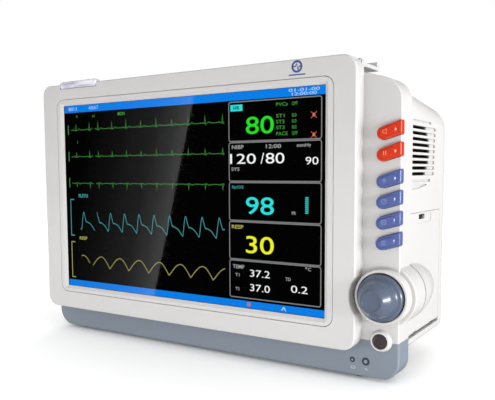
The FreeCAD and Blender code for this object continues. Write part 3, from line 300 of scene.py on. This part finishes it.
def rounded(x0, x1, z0, z1, radius, steps=4):
    """Points round a rectangle with round corners."""
    points = []
    corners = ((x1 - radius, z0 + radius, -90), (x1 - radius, z1 - radius, 0),
               (x0 + radius, z1 - radius, 90), (x0 + radius, z0 + radius, 180))
    for cx, cz, start in corners:
        for i in range(steps + 1):
            angle = math.radians(start + 90 * i / steps)
            points.append((cx + radius * math.cos(angle), cz + radius * math.sin(angle)))
    return points


def circle(x, z, radius, count):
    """Points round a circle."""
    turns = [math.tau * i / count for i in range(count)]
    return [(x + radius * math.cos(a), z + radius * math.sin(a)) for a in turns]


class Sheet:
    """Flat shapes in one plane facing -Y, gathered into one mesh."""

    def __init__(self, y):
        self.y = y
        self.bm = bmesh.new()

    def polygon(self, points):
        """A filled polygon from (x, z) points."""
        self.bm.faces.new([self.bm.verts.new(pt(x, self.y, z)) for x, z in points])

    def bar(self, x0, x1, z0, z1):
        """A filled rectangle."""
        self.polygon([(x0, z0), (x1, z0), (x1, z1), (x0, z1)])

    def line(self, points, width, closed=False):
        """A ribbon of constant width along (x, z) points."""
        sharpest = 0.45     # stops the ribbon from flaring at a sharp turn
        flat = [Vector(p) for p in points]
        count = len(flat)
        pairs = []
        for i, p in enumerate(flat):
            before = flat[i - 1] if closed or i > 0 else p
            after = flat[(i + 1) % count] if closed or i < count - 1 else p
            arrive = (p - before if p != before else after - p).normalized()
            leave = (after - p).normalized() if after != p else arrive
            middle = (arrive + leave).normalized()
            side = Vector((-middle.y, middle.x))
            reach = side * width / 2 * (1.0 / max(sharpest, abs(middle.dot(arrive))))
            pairs.append((p + reach, p - reach))
        verts = [[self.bm.verts.new(pt(q.x, self.y, q.y)) for q in pair] for pair in pairs]
        for i in range(count if closed else count - 1):
            a, b = verts[i], verts[(i + 1) % count]
            self.bm.faces.new([a[0], a[1], b[1], b[0]])

    def text(self, words, x, z, height, width=None, bold=0.0):
        """Plain text with its lower left corner at (x, z). Width stretches it to fit."""
        curve = bpy.data.curves.new("words", "FONT")
        curve.body = words
        curve.offset = bold
        curve.resolution_u = 5
        holder = add_object("words", curve)
        bpy.context.view_layer.update()
        seen = holder.evaluated_get(bpy.context.evaluated_depsgraph_get())
        shape = bpy.data.meshes.new_from_object(seen)
        bpy.data.objects.remove(holder)
        bpy.data.curves.remove(curve)
        xs = [v.co.x for v in shape.vertices]
        ys = [v.co.y for v in shape.vertices]
        low_x, low_y = min(xs), min(ys)
        scale_z = height / (max(ys) - low_y)
        scale_x = width / (max(xs) - low_x) if width else scale_z
        for v in shape.vertices:
            v.co = pt(x + (v.co.x - low_x) * scale_x, self.y, z + (v.co.y - low_y) * scale_z)
        self.bm.from_mesh(shape)
        bpy.data.meshes.remove(shape)

    def finish(self, name, material, body):
        """Turns every face towards the viewer and makes the piece."""
        mesh = bpy.data.meshes.new(name)
        self.bm.normal_update()
        for face in self.bm.faces:
            if face.normal.y > 0:
                face.normal_flip()
        self.bm.to_mesh(mesh)
        self.bm.free()
        piece(name, mesh, material, body)

    def show(self, name, colour):
        """Makes the piece as a lit part of the picture on the screen."""
        self.finish(name, lit(name, colour), "case")


# ---------------------------------------------------------------- the picture on the screen
SCREEN_W, SCREEN_H = 261.1, 163.2
HALF_W, HALF_H = SCREEN_W / 2, SCREEN_H / 2
GROUND_Y, PICTURE_Y, LABEL_Y = 0.15, 0.12, 0.08
TOP_BAR_Z, LOW_BAR_Z = 75.4, -76.2

# The wave area, the time between two heartbeats as a width, and the gap that sweeps across.
TRACE_LEFT, TRACE_RIGHT = -123.4, 45.2
BEAT = 16.6
GAP = (-96.0, -93.0)
HEART_TRACES = ((59.8, 7.4), (36.0, 5.4), (12.4, -5.4))         # base and height of each lead
FIRST_PEAK = -89.3                                              # the first peak after the gap
MARK_WIDTH = 0.8

# The waves of one heartbeat: place in the beat, width, height.
HEART_WAVES = ((0.30, 0.045, 0.10), (0.455, 0.012, -0.14), (0.50, 0.016, 1.0),
               (0.545, 0.014, -0.20), (0.74, 0.06, 0.16))
PULSE_PEAK, PULSE_SHOULDER, PULSE_FALL = 0.2, 0.42, 0.55
BREATH_PEAK = 0.55
QUARTER = math.pi / 2

# How far text is swollen, in parts of its size.
HAIR, BIG_BOLD, THIN, BOLD = 0.002, 0.006, 0.01, 0.02
LEAD_TEXT, SMALL_TEXT = 2.4, 2.6                # heights


def part(phase, start, end):
    """How far a phase has come from a start to an end, from 0 to 1."""
    return (phase - start) / (end - start)


def heartbeat(phase):
    """Height of an electrocardiogram trace at a phase of one beat. The main peak is 1."""
    return sum(size * math.exp(-((phase - centre) / width) ** 2)
               for centre, width, size in HEART_WAVES)


def pulse(phase):
    """Height of a pulse wave: a steep rise to 1, a shoulder half way down, then a long fall."""
    if phase < PULSE_PEAK:
        return math.sin(part(phase, 0.0, PULSE_PEAK) * QUARTER) ** 1.4
    if phase < PULSE_SHOULDER:
        return 1.0 - 0.57 * math.sin(part(phase, PULSE_PEAK, PULSE_SHOULDER) * QUARTER) ** 1.3
    if phase < PULSE_FALL:
        return 0.43 + 0.03 * math.sin(part(phase, PULSE_SHOULDER, PULSE_FALL) * math.pi)
    return 0.41 * math.cos(part(phase, PULSE_FALL, 1.0) * QUARTER) ** 1.1


def breath(phase):
    """Height of a breathing trace, from 0 to 1: a broad round top between narrow dips."""
    if phase < BREATH_PEAK:
        turned = part(phase, 0.0, BREATH_PEAK) * 0.5
    else:
        turned = 0.5 + part(phase, BREATH_PEAK, 1.0) * 0.5
    return math.sin(math.pi * turned) ** 1.1


def trace(sheet, wave, height, base, first, period, width, step, left, gap=GAP, shift=0.0):
    """A trace across the wave area, broken at the sweep gap. It is wave times height over a base,
    with a wave that starts at x = first. Left of the gap it is moved to the left by shift."""
    for start, end, origin in ((left, gap[0], first - shift), (gap[1], TRACE_RIGHT, first)):
        count = int((end - start) / step)
        xs = [start + (end - start) * i / count for i in range(count + 1)]
        sheet.line([(x, base + height * wave(((x - origin) / period) % 1.0)) for x in xs], width)


def scale_mark(sheet, x, low, high, width, tick):
    """A small bracket that shows a trace's scale."""
    sheet.line([(x + tick, high), (x, high), (x, low), (x + tick, low)], width)


def make_traces():
    """The dark ground, the blue bars and the traces on the left of the screen."""
    ground = Sheet(GROUND_Y)
    ground.bar(-HALF_W, HALF_W, -HALF_H, HALF_H)
    ground.show("screen_ground", (0.001, 0.001, 0.001))

    blue = Sheet(PICTURE_Y)
    blue.bar(-HALF_W, HALF_W, TOP_BAR_Z, HALF_H)
    blue.bar(-HALF_W, HALF_W, -HALF_H, LOW_BAR_Z)
    blue.show("screen_bars", (0.004, 0.225, 0.86))

    green = Sheet(PICTURE_Y)
    for base, height in HEART_TRACES:
        trace(green, heartbeat, height, base, first=FIRST_PEAK - 0.5 * BEAT, period=BEAT,
              width=0.36, step=0.4, left=TRACE_LEFT, shift=10.8)
        scale_mark(green, -126.6, base - 3.4, base + 4.2, MARK_WIDTH, tick=0.6)
    green.text("II", -115.8, 70.6, LEAD_TEXT)
    green.text("x1", -96.0, 70.3, LEAD_TEXT)
    green.text("MON", -65.3, 70.4, 2.8, 8.0, BOLD)
    green.text("I", -115.2, 47.8, LEAD_TEXT)
    green.show("screen_green_traces", (0.07, 0.36, 0.06))

    cyan = Sheet(PICTURE_Y)
    trace(cyan, pulse, height=16.1, base=-29.8, first=-79.5, period=BEAT, width=0.55, step=0.35,
          left=-113.9)
    scale_mark(cyan, -126.0, -35.2, -2.5, MARK_WIDTH, tick=4.4)
    cyan.text("PLETH", -115.4, -0.6, 3.2, 11.6, BOLD)
    cyan.show("screen_cyan_traces", (0.07, 0.38, 0.40))

    yellow = Sheet(PICTURE_Y)
    trace(yellow, breath, height=9.9, base=-62.9, first=-78.4, period=22.4, width=0.55, step=0.4,
          left=-113.5, gap=(-103.2, -99.2))
    scale_mark(yellow, -126.0, -73.6, -41.2, MARK_WIDTH, tick=4.4)
    yellow.text("RESP", -115.5, -38.8, 3.0, 9.7, BOLD)
    yellow.show("screen_yellow_traces", (0.45, 0.42, 0.12))


# The column of numbers on the right of the screen.
BOX_LEFT, BOX_RIGHT = 49.5, 127.4
BOX_SPANS = ((45.0, 74.3), (15.0, 44.0), (-14.8, 14.0), (-44.5, -15.8), (-74.1, -45.5))
BOX_CORNER, BOX_LINE = 1.6, 0.8
METER_STEPS, METER_PITCH, METER_LOW, METER_STEP = 9, 1.36, -7.8, 0.75
CROSSED_BELLS = ((121.4, 61.6), (121.4, 47.8))
# Words with their lower left corner, then the height where it varies and the width.
SMALL_GREEN = (
    ("PVCs", 90.9, 69.2, 9.6), ("OFF", 103.9, 69.2, 4.6), ("ST1", 90.9, 61.0, 7.0),
    ("ST2", 90.9, 56.8, 7.0), ("ST3", 90.9, 52.6, 7.0), ("PACE", 90.9, 48.2, 9.6),
    ("0.0", 103.9, 61.0, 3.6), ("0.0", 103.9, 56.8, 3.6), ("0.0", 103.9, 52.6, 3.6),
    ("OFF", 103.9, 48.2, 4.6))
WHITE_NUMBERS = (
    ("120", 50.3, 28.0, 7.6, 23.2), ("/", 77.6, 28.0, 7.9, 3.1), ("80", 82.0, 28.0, 7.8, 15.8),
    ("90", 114.9, 27.0, 5.4, 10.2), ("37.2", 67.9, -57.2, 5.4, 17.5),
    ("37.0", 67.9, -68.2, 5.4, 17.5), ("0.2", 103.3, -65.9, 5.3, 13.6))
PALE_LABELS = (
    ("NIBP", 52.1, 39.2, 2.9, 10.6), ("12:00", 82.2, 39.2, 2.9, 12.8),
    ("mmHg", 108.0, 38.8, 3.3, 11.2), ("SYS", 51.5, 22.8, 2.6, 7.4),
    ("TEMP", 52.3, -51.8, 2.9, 10.6), ("T1", 54.6, -57.8, 2.3, 3.8),
    ("T2", 54.6, -68.6, 2.3, 3.8), ("TD", 98.7, -57.6, 2.4, 4.4),
    ("C", 117.2, -49.0, 2.4, 2.4), ("PR", 103.9, -8.9, 2.2, 3.4))
BAR_LABELS = (
    ("BED 3", -125.4, 77.3, 2.8, 10.6), ("ADULT", -100.0, 77.3, 2.8, 11.6),
    ("01-01-00", 101.4, 78.6, 2.2, 24.6), ("12:00:00", 103.9, 75.9, 2.2, 19.8))


def one_label(name, colour, words, x, z, tall, wide):
    """A lit label that is a piece of its own."""
    label = Sheet(PICTURE_Y)
    label.text(words, x, z, tall, wide, THIN)
    label.show(name, colour)


def make_numbers():
    """The boxes on the right of the screen, their numbers, and the labels in the blue bars."""
    boxes = Sheet(PICTURE_Y)
    for low, high in BOX_SPANS:
        boxes.line(rounded(BOX_LEFT, BOX_RIGHT, low, high, BOX_CORNER), BOX_LINE, True)
    boxes.show("screen_boxes", (0.24, 0.24, 0.24))

    green = Sheet(PICTURE_Y)
    green.text("80", 64.8, 49.9, 12.9, 24.2, BIG_BOLD)
    green.show("screen_heart_rate", (0.02, 0.80, 0.02))
    small = Sheet(PICTURE_Y)
    for words, x, z, wide in SMALL_GREEN:
        small.text(words, x, z, SMALL_TEXT, wide, THIN)
    small.show("screen_small_green", (0.06, 0.30, 0.05))

    tag = Sheet(LABEL_Y)
    tag.text("HR", 53.6, 68.5, 2.7, 5.6, BOLD)
    tag.show("screen_tag_label", (0.004, 0.03, 0.03))

    cyan = Sheet(PICTURE_Y)
    cyan.bar(51.0, 61.9, 67.5, 72.3)            # the tag behind HR
    cyan.text("98", 64.5, -9.9, 13.1, 24.5, BIG_BOLD)
    for i in range(METER_STEPS):
        low = METER_LOW + METER_PITCH * i
        cyan.bar(114.8, 117.4, low, low + METER_STEP)
    cyan.show("screen_saturation", (0.03, 0.78, 0.74))
    one_label("screen_small_cyan", (0.05, 0.40, 0.38), "SpO2", 51.8, 8.8, 2.9, 10.6)

    yellow = Sheet(PICTURE_Y)
    yellow.text("30", 64.4, -39.4, 13.2, 24.5, BIG_BOLD)
    yellow.show("screen_breathing", (0.90, 0.90, 0.03))
    one_label("screen_small_yellow", (0.55, 0.52, 0.10), "RESP", 51.6, -21.2, 2.9, 10.6)

    white = Sheet(PICTURE_Y)
    for words, x, z, tall, wide in WHITE_NUMBERS:
        white.text(words, x, z, tall, wide, HAIR)
    white.show("screen_white_numbers", (0.95, 0.95, 0.95))
    pale = Sheet(PICTURE_Y)
    for words, x, z, tall, wide in PALE_LABELS:
        pale.text(words, x, z, tall, wide, THIN)
    pale.line(rounded(115.2, 116.3, -47.6, -46.5, 0.5), 0.35, True)     # the degree sign
    pale.show("screen_pale_labels", (0.42, 0.42, 0.42))

    bar = Sheet(LABEL_Y)
    for words, x, z, tall, wide in BAR_LABELS:
        bar.text(words, x, z, tall, wide, THIN)
    bar.line([(95.4, -80.2), (97.0, -78.0), (98.8, -80.0), (97.6, -77.6)], 0.9)
    bar.show("screen_bar_labels", (0.45, 0.70, 1.0))

    red = Sheet(LABEL_Y)
    for x, z in CROSSED_BELLS:
        red.polygon([(x - 1.3, z - 1.0), (x + 1.3, z - 1.0), (x + 0.8, z + 0.5),
                     (x + 0.5, z + 1.4), (x - 0.5, z + 1.4), (x - 0.8, z + 0.5)])
        red.line([(x - 2.3, z - 2.2), (x + 2.3, z + 2.4)], 0.35)
        red.line([(x - 2.3, z + 2.4), (x + 2.3, z - 2.2)], 0.35)
    red.bar(65.4, 68.2, -80.0, -77.4)
    red.show("screen_red_marks", (0.80, 0.16, 0.11))


# ---------------------------------------------------------------- key faces, marks and vent webs
# Each key's pad stands on its face, from y = PAD_FOOT to PAD_FACE, and carries a sign.
KEY_FACE = 5.6
PAD_FOOT, PAD_FACE, PAD_DRAFT, PAD_CORNER = KEY_FACE + 0.05, KEY_FACE - 1.1, 1.3, 2.5
SIGN_X, SIGN_Y, SIGN_DROP, SIGN_LINE = 171.6, KEY_FACE - 1.13, 3.2, 0.4
KEY_LEFT, KEY_RIGHT = 166.9, 179.2
KEY_HEIGHTS = {"silence": 51.7, "pause": 37.3, "freeze": 19.2, "pressure": 5.2, "record": -8.9,
               "menu": -22.9}
RED_KEYS = ("silence", "pause")

MARK_X, MARK_Y, MARK_Z, MARK_RADIUS = 109.4, -3.03, 95.5, 3.6
MARK_PULSE = ((-3.5, 0.0), (-1.2, 0.0), (-0.3, 2.0), (0.8, -2.2), (1.6, 0.0), (3.5, 0.0))
LAMP_SIGN_Y, LAMP_SIGN_LINE = 9.26, 0.35
LAMP_Y, LAMP_Z = 8.98, -111.2
LAMPS = ((147.9, 0.8), (158.0, 1.3))            # x and radius of each indicator lamp

VENTS, VENT_PITCH, VENT_MIDDLE = 9, 4.12, 36.6
VENT_END, VENT_LEAN = 85.0, 0.4                 # the lowest slot's rear end, and each step back
WEB_START, WEB_BULGE = 76.7, 10.2               # the front ends of the webs lie on a curve
WEB_INNER, WEB_OUTER, WEB_HALF, WEB_TIP = 178.35, 179.6, 1.08, 0.7


def mesh_of(name, bm):
    """The finished mesh, with the bmesh freed."""
    mesh = bpy.data.meshes.new(name)
    bm.to_mesh(mesh)
    bm.free()
    return mesh


def round_corners(points, radius, steps=5):
    """The polygon with each corner turned into an arc."""
    result = []
    for i, corner in enumerate(points):
        here = Vector(corner)
        before = (Vector(points[i - 1]) - here).normalized()
        after = (Vector(points[(i + 1) % len(points)]) - here).normalized()
        half = before.angle(after) / 2
        tangent = radius / math.tan(half)
        start, end = here + before * tangent, here + after * tangent
        centre = here + (before + after).normalized() * radius / math.sin(half)
        for j in range(steps + 1):
            arm = (start - centre).lerp(end - centre, j / steps).normalized()
            result.append(tuple(centre + arm * radius))
    return result


def raised_pad(name, points, foot, face, draft, material, body):
    """A low pad with sloped sides, from its outline at the foot to its inset face."""
    shoulder, shoulder_draft = 0.12, 0.55
    bm = bmesh.new()
    middle = sum((Vector(p) for p in points), Vector((0.0, 0.0))) / len(points)
    rings = []
    for y, inset in ((foot, 0.0), (face + shoulder, draft * shoulder_draft), (face, draft)):
        ring = []
        for p in points:
            inward = (middle - Vector(p)).normalized() * inset
            ring.append(bm.verts.new(pt(p[0] + inward.x, y, p[1] + inward.y)))
        rings.append(ring)
    count = len(points)
    for low, high in zip(rings, rings[1:]):
        for i in range(count):
            j = (i + 1) % count
            bm.faces.new([low[i], low[j], high[j], high[i]])
    top = bm.faces.new(rings[-1])
    bmesh.ops.recalc_face_normals(bm, faces=bm.faces)
    if top.normal.y > 0:
        bmesh.ops.reverse_faces(bm, faces=bm.faces)
    piece(name, mesh_of(name, bm), material, body)


def key_sign(sheet, name, x, z):
    """One plain sign for each key."""
    if name == "silence":
        sheet.line([(x - 1.6, z - 0.9), (x - 0.4, z - 0.9), (x + 1.0, z - 1.7),
                    (x + 1.0, z + 1.7), (x - 0.4, z + 0.9), (x - 1.6, z + 0.9)], SIGN_LINE,
                   True)
    elif name == "pause":
        sheet.bar(x - 1.1, x - 0.4, z - 1.5, z + 1.5)
        sheet.bar(x + 0.4, x + 1.1, z - 1.5, z + 1.5)
    elif name == "freeze":
        for turn in range(3):
            angle = math.pi * turn / 3
            dx, dz = 1.7 * math.cos(angle), 1.7 * math.sin(angle)
            sheet.line([(x - dx, z - dz), (x + dx, z + dz)], SIGN_LINE)
    elif name == "pressure":
        sheet.line(circle(x, z, 1.6, 16), SIGN_LINE, True)
        sheet.line([(x, z), (x + 0.9, z + 0.9)], SIGN_LINE)
    elif name == "record":
        sheet.line([(x - 1.5, z - 1.3), (x + 1.5, z - 1.3), (x + 1.5, z + 1.3),
                    (x - 1.5, z + 1.3)], SIGN_LINE, True)
        sheet.line([(x - 1.0, z), (x + 1.0, z)], 0.35)
    else:
        for dz in (-1.2, 0.0, 1.2):
            sheet.bar(x - 1.5, x + 1.5, z + dz - 0.2, z + dz + 0.2)


def make_key_faces():
    """A raised pad with a sign on each key. They ride on the keys."""
    for name, height in KEY_HEIGHTS.items():
        red = name in RED_KEYS
        body = "key_" + name
        slot = "key_red" if red else "key_blue"
        outline = round_corners([(KEY_RIGHT, height + 2.3), (KEY_RIGHT, height - 4.0),
                                 (KEY_LEFT, height - 7.9), (KEY_LEFT, height - 2.3)],
                                PAD_CORNER)
        raised_pad("key_pad_" + name, outline, PAD_FOOT, PAD_FACE, PAD_DRAFT, looks[slot], body)
        sign = Sheet(SIGN_Y)
        key_sign(sign, name, SIGN_X, height - SIGN_DROP)
        sign.finish("key_sign_" + name, looks["sign_on_red" if red else "sign_on_blue"],
                    body)


def make_marks():
    """A plain round mark with a pulse line, and small signs under the indicator lamps."""
    mark = Sheet(MARK_Y)
    mark.line(circle(MARK_X, MARK_Z, MARK_RADIUS, 32), 1.5, True)
    mark.line([(MARK_X + dx, MARK_Z + dz) for dx, dz in MARK_PULSE], 0.8)
    mark.bar(102.8, 116.0, 89.4, 90.3)
    mark.finish("round_mark", looks["mark_blue"], "case")
    signs = Sheet(LAMP_SIGN_Y)
    signs.line(((147.0, -117.4), (149.8, -117.4), (149.8, -116.0), (147.0, -116.0)),
               LAMP_SIGN_LINE, True)
    signs.bar(149.9, 150.3, -117.0, -116.4)
    signs.line([(156.8, -116.7), (157.9, -116.7), (158.5, -115.7), (159.0, -117.6),
                (159.6, -116.7)], LAMP_SIGN_LINE)
    signs.finish("indicator_signs", looks["symbol_pale"], "case")
    lamps = Sheet(LAMP_Y)
    for x, radius in LAMPS:
        lamps.polygon(circle(x, LAMP_Z, radius, 20))
    lamps.finish("indicator_lamps", looks["lamp_off"], "case")


def make_vent_webs():
    """Thin webs that close the rear part of each right side vent slot, just below the surface."""
    bm = bmesh.new()
    middle = (VENTS - 1) // 2
    for i in range(VENTS):
        z, end = VENT_MIDDLE + (i - middle) * VENT_PITCH, VENT_END + VENT_LEAN * i
        start = WEB_START - WEB_BULGE * ((i - middle) / middle) ** 2
        shape = [(start, z - WEB_HALF), (end - 1.1, z - WEB_HALF), (end - 0.4, z - WEB_TIP),
                 (end - 0.12, z), (end - 0.4, z + WEB_TIP), (end - 1.1, z + WEB_HALF),
                 (start, z + WEB_HALF), (start + 0.7, z)]
        inner = [bm.verts.new(pt(WEB_INNER, y, height)) for y, height in shape]
        outer = [bm.verts.new(pt(WEB_OUTER, y, height)) for y, height in shape]
        bm.faces.new(outer)
        bm.faces.new(inner[::-1])
        for j in range(len(shape)):
            k = (j + 1) % len(shape)
            bm.faces.new([inner[j], inner[k], outer[k], outer[j]])
    bmesh.ops.recalc_face_normals(bm, faces=bm.faces)
    piece("vent_webs", mesh_of("vent_webs", bm), looks["housing_cream"], "case")


# ---------------------------------------------------------------- light, floor and camera
WHITE = (1.0, 1.0, 1.0, 1.0)
STAGE_MIDDLE = pt(20, 40, -10)
# Each light's name, place from the middle of the stage in metres, size in metres and power.
LIGHTS = (("key", (1.35, -0.12, 0.04), (0.8, 0.28), 20.5),
          ("top", (0.1, -0.05, 1.3), (1.2, 0.9), 0.8),
          ("back", (-0.6, 1.2, 0.6), (1.0, 0.8), 4.0))
LOW_PLACE, LOW_TARGET, LOW_SIZE, LOW_POWER = (30, -250, -108), (30, 0, -85), (0.75, 0.03), 0.70

FLOOR_REACH = 30.0                              # metres
# The reflector's right edge, how far that is stretched downwards, how much of the stretched edge
# is added above it, and the way across the panel.
PANEL_TOP, PANEL_LOW = Vector((-669.9, -900.0, 209.2)), Vector((-809.7, -900.0, -305.2))
PANEL_STRETCH, PANEL_ABOVE, PANEL_ACROSS = 1.6, 0.5, Vector((-520, 0, 0))
GLOW_BRIGHTEST, GLOW_END = 0.74, 0.70
GLOW_STOPS = ((0.09, 0.40), (0.22, 0.17), (0.45, 0.055))        # place across, level

CAMERA_PLACE = (326.29, -406.40, 22.73)
CAMERA_FORWARD = Vector((-0.53783, 0.83889, -0.08374))
CAMERA_RIGHT = Vector((0.84204, 0.53940, -0.00452))
CAMERA_SENSOR, CAMERA_LENS, CAMERA_SHIFT, CAMERA_NEAR = 36.0, 46.61, 0.05, 0.01


def area_light(name, place, target, size, power):
    """A soft rectangular light that the camera doesn't see."""
    lamp = bpy.data.lights.new(name, "AREA")
    lamp.shape = "RECTANGLE"
    lamp.size, lamp.size_y = size
    lamp.energy = power
    holder = add_object(name, lamp)
    holder.location = place
    holder.rotation_mode = "QUATERNION"
    holder.rotation_quaternion = (target - place).to_track_quat("-Z", "Y")
    holder.visible_camera = False
    return holder


def unseen_to_gloss(thing):
    """Keeps a stage piece out of reflections and out of what shows through the window."""
    thing.visible_glossy = False
    thing.visible_transmission = False


def make_world():
    """White all round, kept out of reflections and out of what shows through the window."""
    world = bpy.data.worlds.new("studio")
    bpy.context.scene.world = world
    world.use_nodes = True
    background = world.node_tree.nodes["Background"]
    background.inputs["Color"].default_value = WHITE
    background.inputs["Strength"].default_value = 1.0
    world.cycles_visibility.glossy = False
    world.cycles_visibility.transmission = False


def make_floor(height):
    """Plain pale floor."""
    ground = bpy.data.meshes.new("floor")
    corners = [(-1, -1), (1, -1), (1, 1), (-1, 1)]
    ground.from_pydata([(x * FLOOR_REACH, y * FLOOR_REACH, height) for x, y in corners], [],
                       [(0, 1, 2, 3)])
    floor = add_object("floor", ground)
    shader, material = new_material("floor_white")[1:]
    shader.inputs["Base Color"].default_value = (0.94, 0.94, 0.94, 1.0)
    shader.inputs["Roughness"].default_value = 0.8
    shader.inputs["Specular IOR Level"].default_value = 0.0
    shader.inputs["Emission Color"].default_value = WHITE
    shader.inputs["Emission Strength"].default_value = 0.08
    ground.materials.append(material)
    unseen_to_gloss(floor)


def glow_material():
    """Glow that is strongest at the panel's right edge and fades away to the left."""
    material = bpy.data.materials.new("reflector_glow")
    material.use_nodes = True
    tree = material.node_tree
    tree.nodes.clear()
    across = tree.nodes.new("ShaderNodeUVMap")
    across.uv_map = "across"
    split = tree.nodes.new("ShaderNodeSeparateXYZ")
    fade = tree.nodes.new("ShaderNodeValToRGB")
    first, last = fade.color_ramp.elements
    first.position, first.color = 0.0, (*[GLOW_BRIGHTEST] * 3, 1.0)
    last.position, last.color = GLOW_END, (0.0, 0.0, 0.0, 1.0)
    for position, level in GLOW_STOPS:
        fade.color_ramp.elements.new(position).color = (level, level, level, 1.0)
    glow = tree.nodes.new("ShaderNodeEmission")
    output = tree.nodes.new("ShaderNodeOutputMaterial")
    tree.links.new(across.outputs["UV"], split.inputs["Vector"])
    tree.links.new(split.outputs["X"], fade.inputs["Fac"])
    tree.links.new(fade.outputs["Color"], glow.inputs["Color"])
    tree.links.new(glow.outputs["Emission"], output.inputs["Surface"])
    return material


def make_reflector():
    """A tall soft panel in front and to the left, which shows only as a sheen on gloss."""
    fall = (PANEL_LOW - PANEL_TOP) * PANEL_STRETCH
    top, low = PANEL_TOP - fall * PANEL_ABOVE, PANEL_TOP + fall
    corners = [top, low, low + PANEL_ACROSS, top + PANEL_ACROSS]
    panel = bpy.data.meshes.new("reflector")
    panel.from_pydata([pt(*corner) for corner in corners], [], [(0, 1, 2, 3)])
    layer = panel.uv_layers.new(name="across")
    for loop, u in zip(layer.data, (0.0, 0.0, 1.0, 1.0)):
        loop.uv = (u, 0.0)
    reflector = add_object("reflector", panel)
    panel.materials.append(glow_material())
    reflector.visible_camera = False
    reflector.visible_diffuse = False
    reflector.visible_shadow = False


def make_lights():
    """The soft studio lights, and a weak long one low in front that leaves no reflection."""
    for name, place, size, power in LIGHTS:
        area_light(name, STAGE_MIDDLE + Vector(place), STAGE_MIDDLE, size, power)
    low = area_light("low_front", pt(*LOW_PLACE), pt(*LOW_TARGET), LOW_SIZE, LOW_POWER)
    unseen_to_gloss(low)


def make_camera():
    """A camera at the photograph's viewing angle."""
    camera = add_object("camera", bpy.data.cameras.new("camera"))
    up = CAMERA_RIGHT.cross(CAMERA_FORWARD)
    turn = Matrix((CAMERA_RIGHT, up, -CAMERA_FORWARD)).transposed()
    camera.matrix_world = Matrix.Translation(pt(*CAMERA_PLACE)) @ turn.to_4x4()
    camera.data.sensor_width = CAMERA_SENSOR
    camera.data.lens = CAMERA_LENS
    camera.data.shift_y = CAMERA_SHIFT
    camera.data.clip_start = CAMERA_NEAR
    bpy.context.scene.camera = camera
    bpy.context.scene.view_settings.view_transform = "Standard"


make_traces()
make_numbers()
make_key_faces()
make_marks()
make_vent_webs()
make_world()
make_floor(cad_box[0][2])
make_reflector()
make_lights()
make_camera()
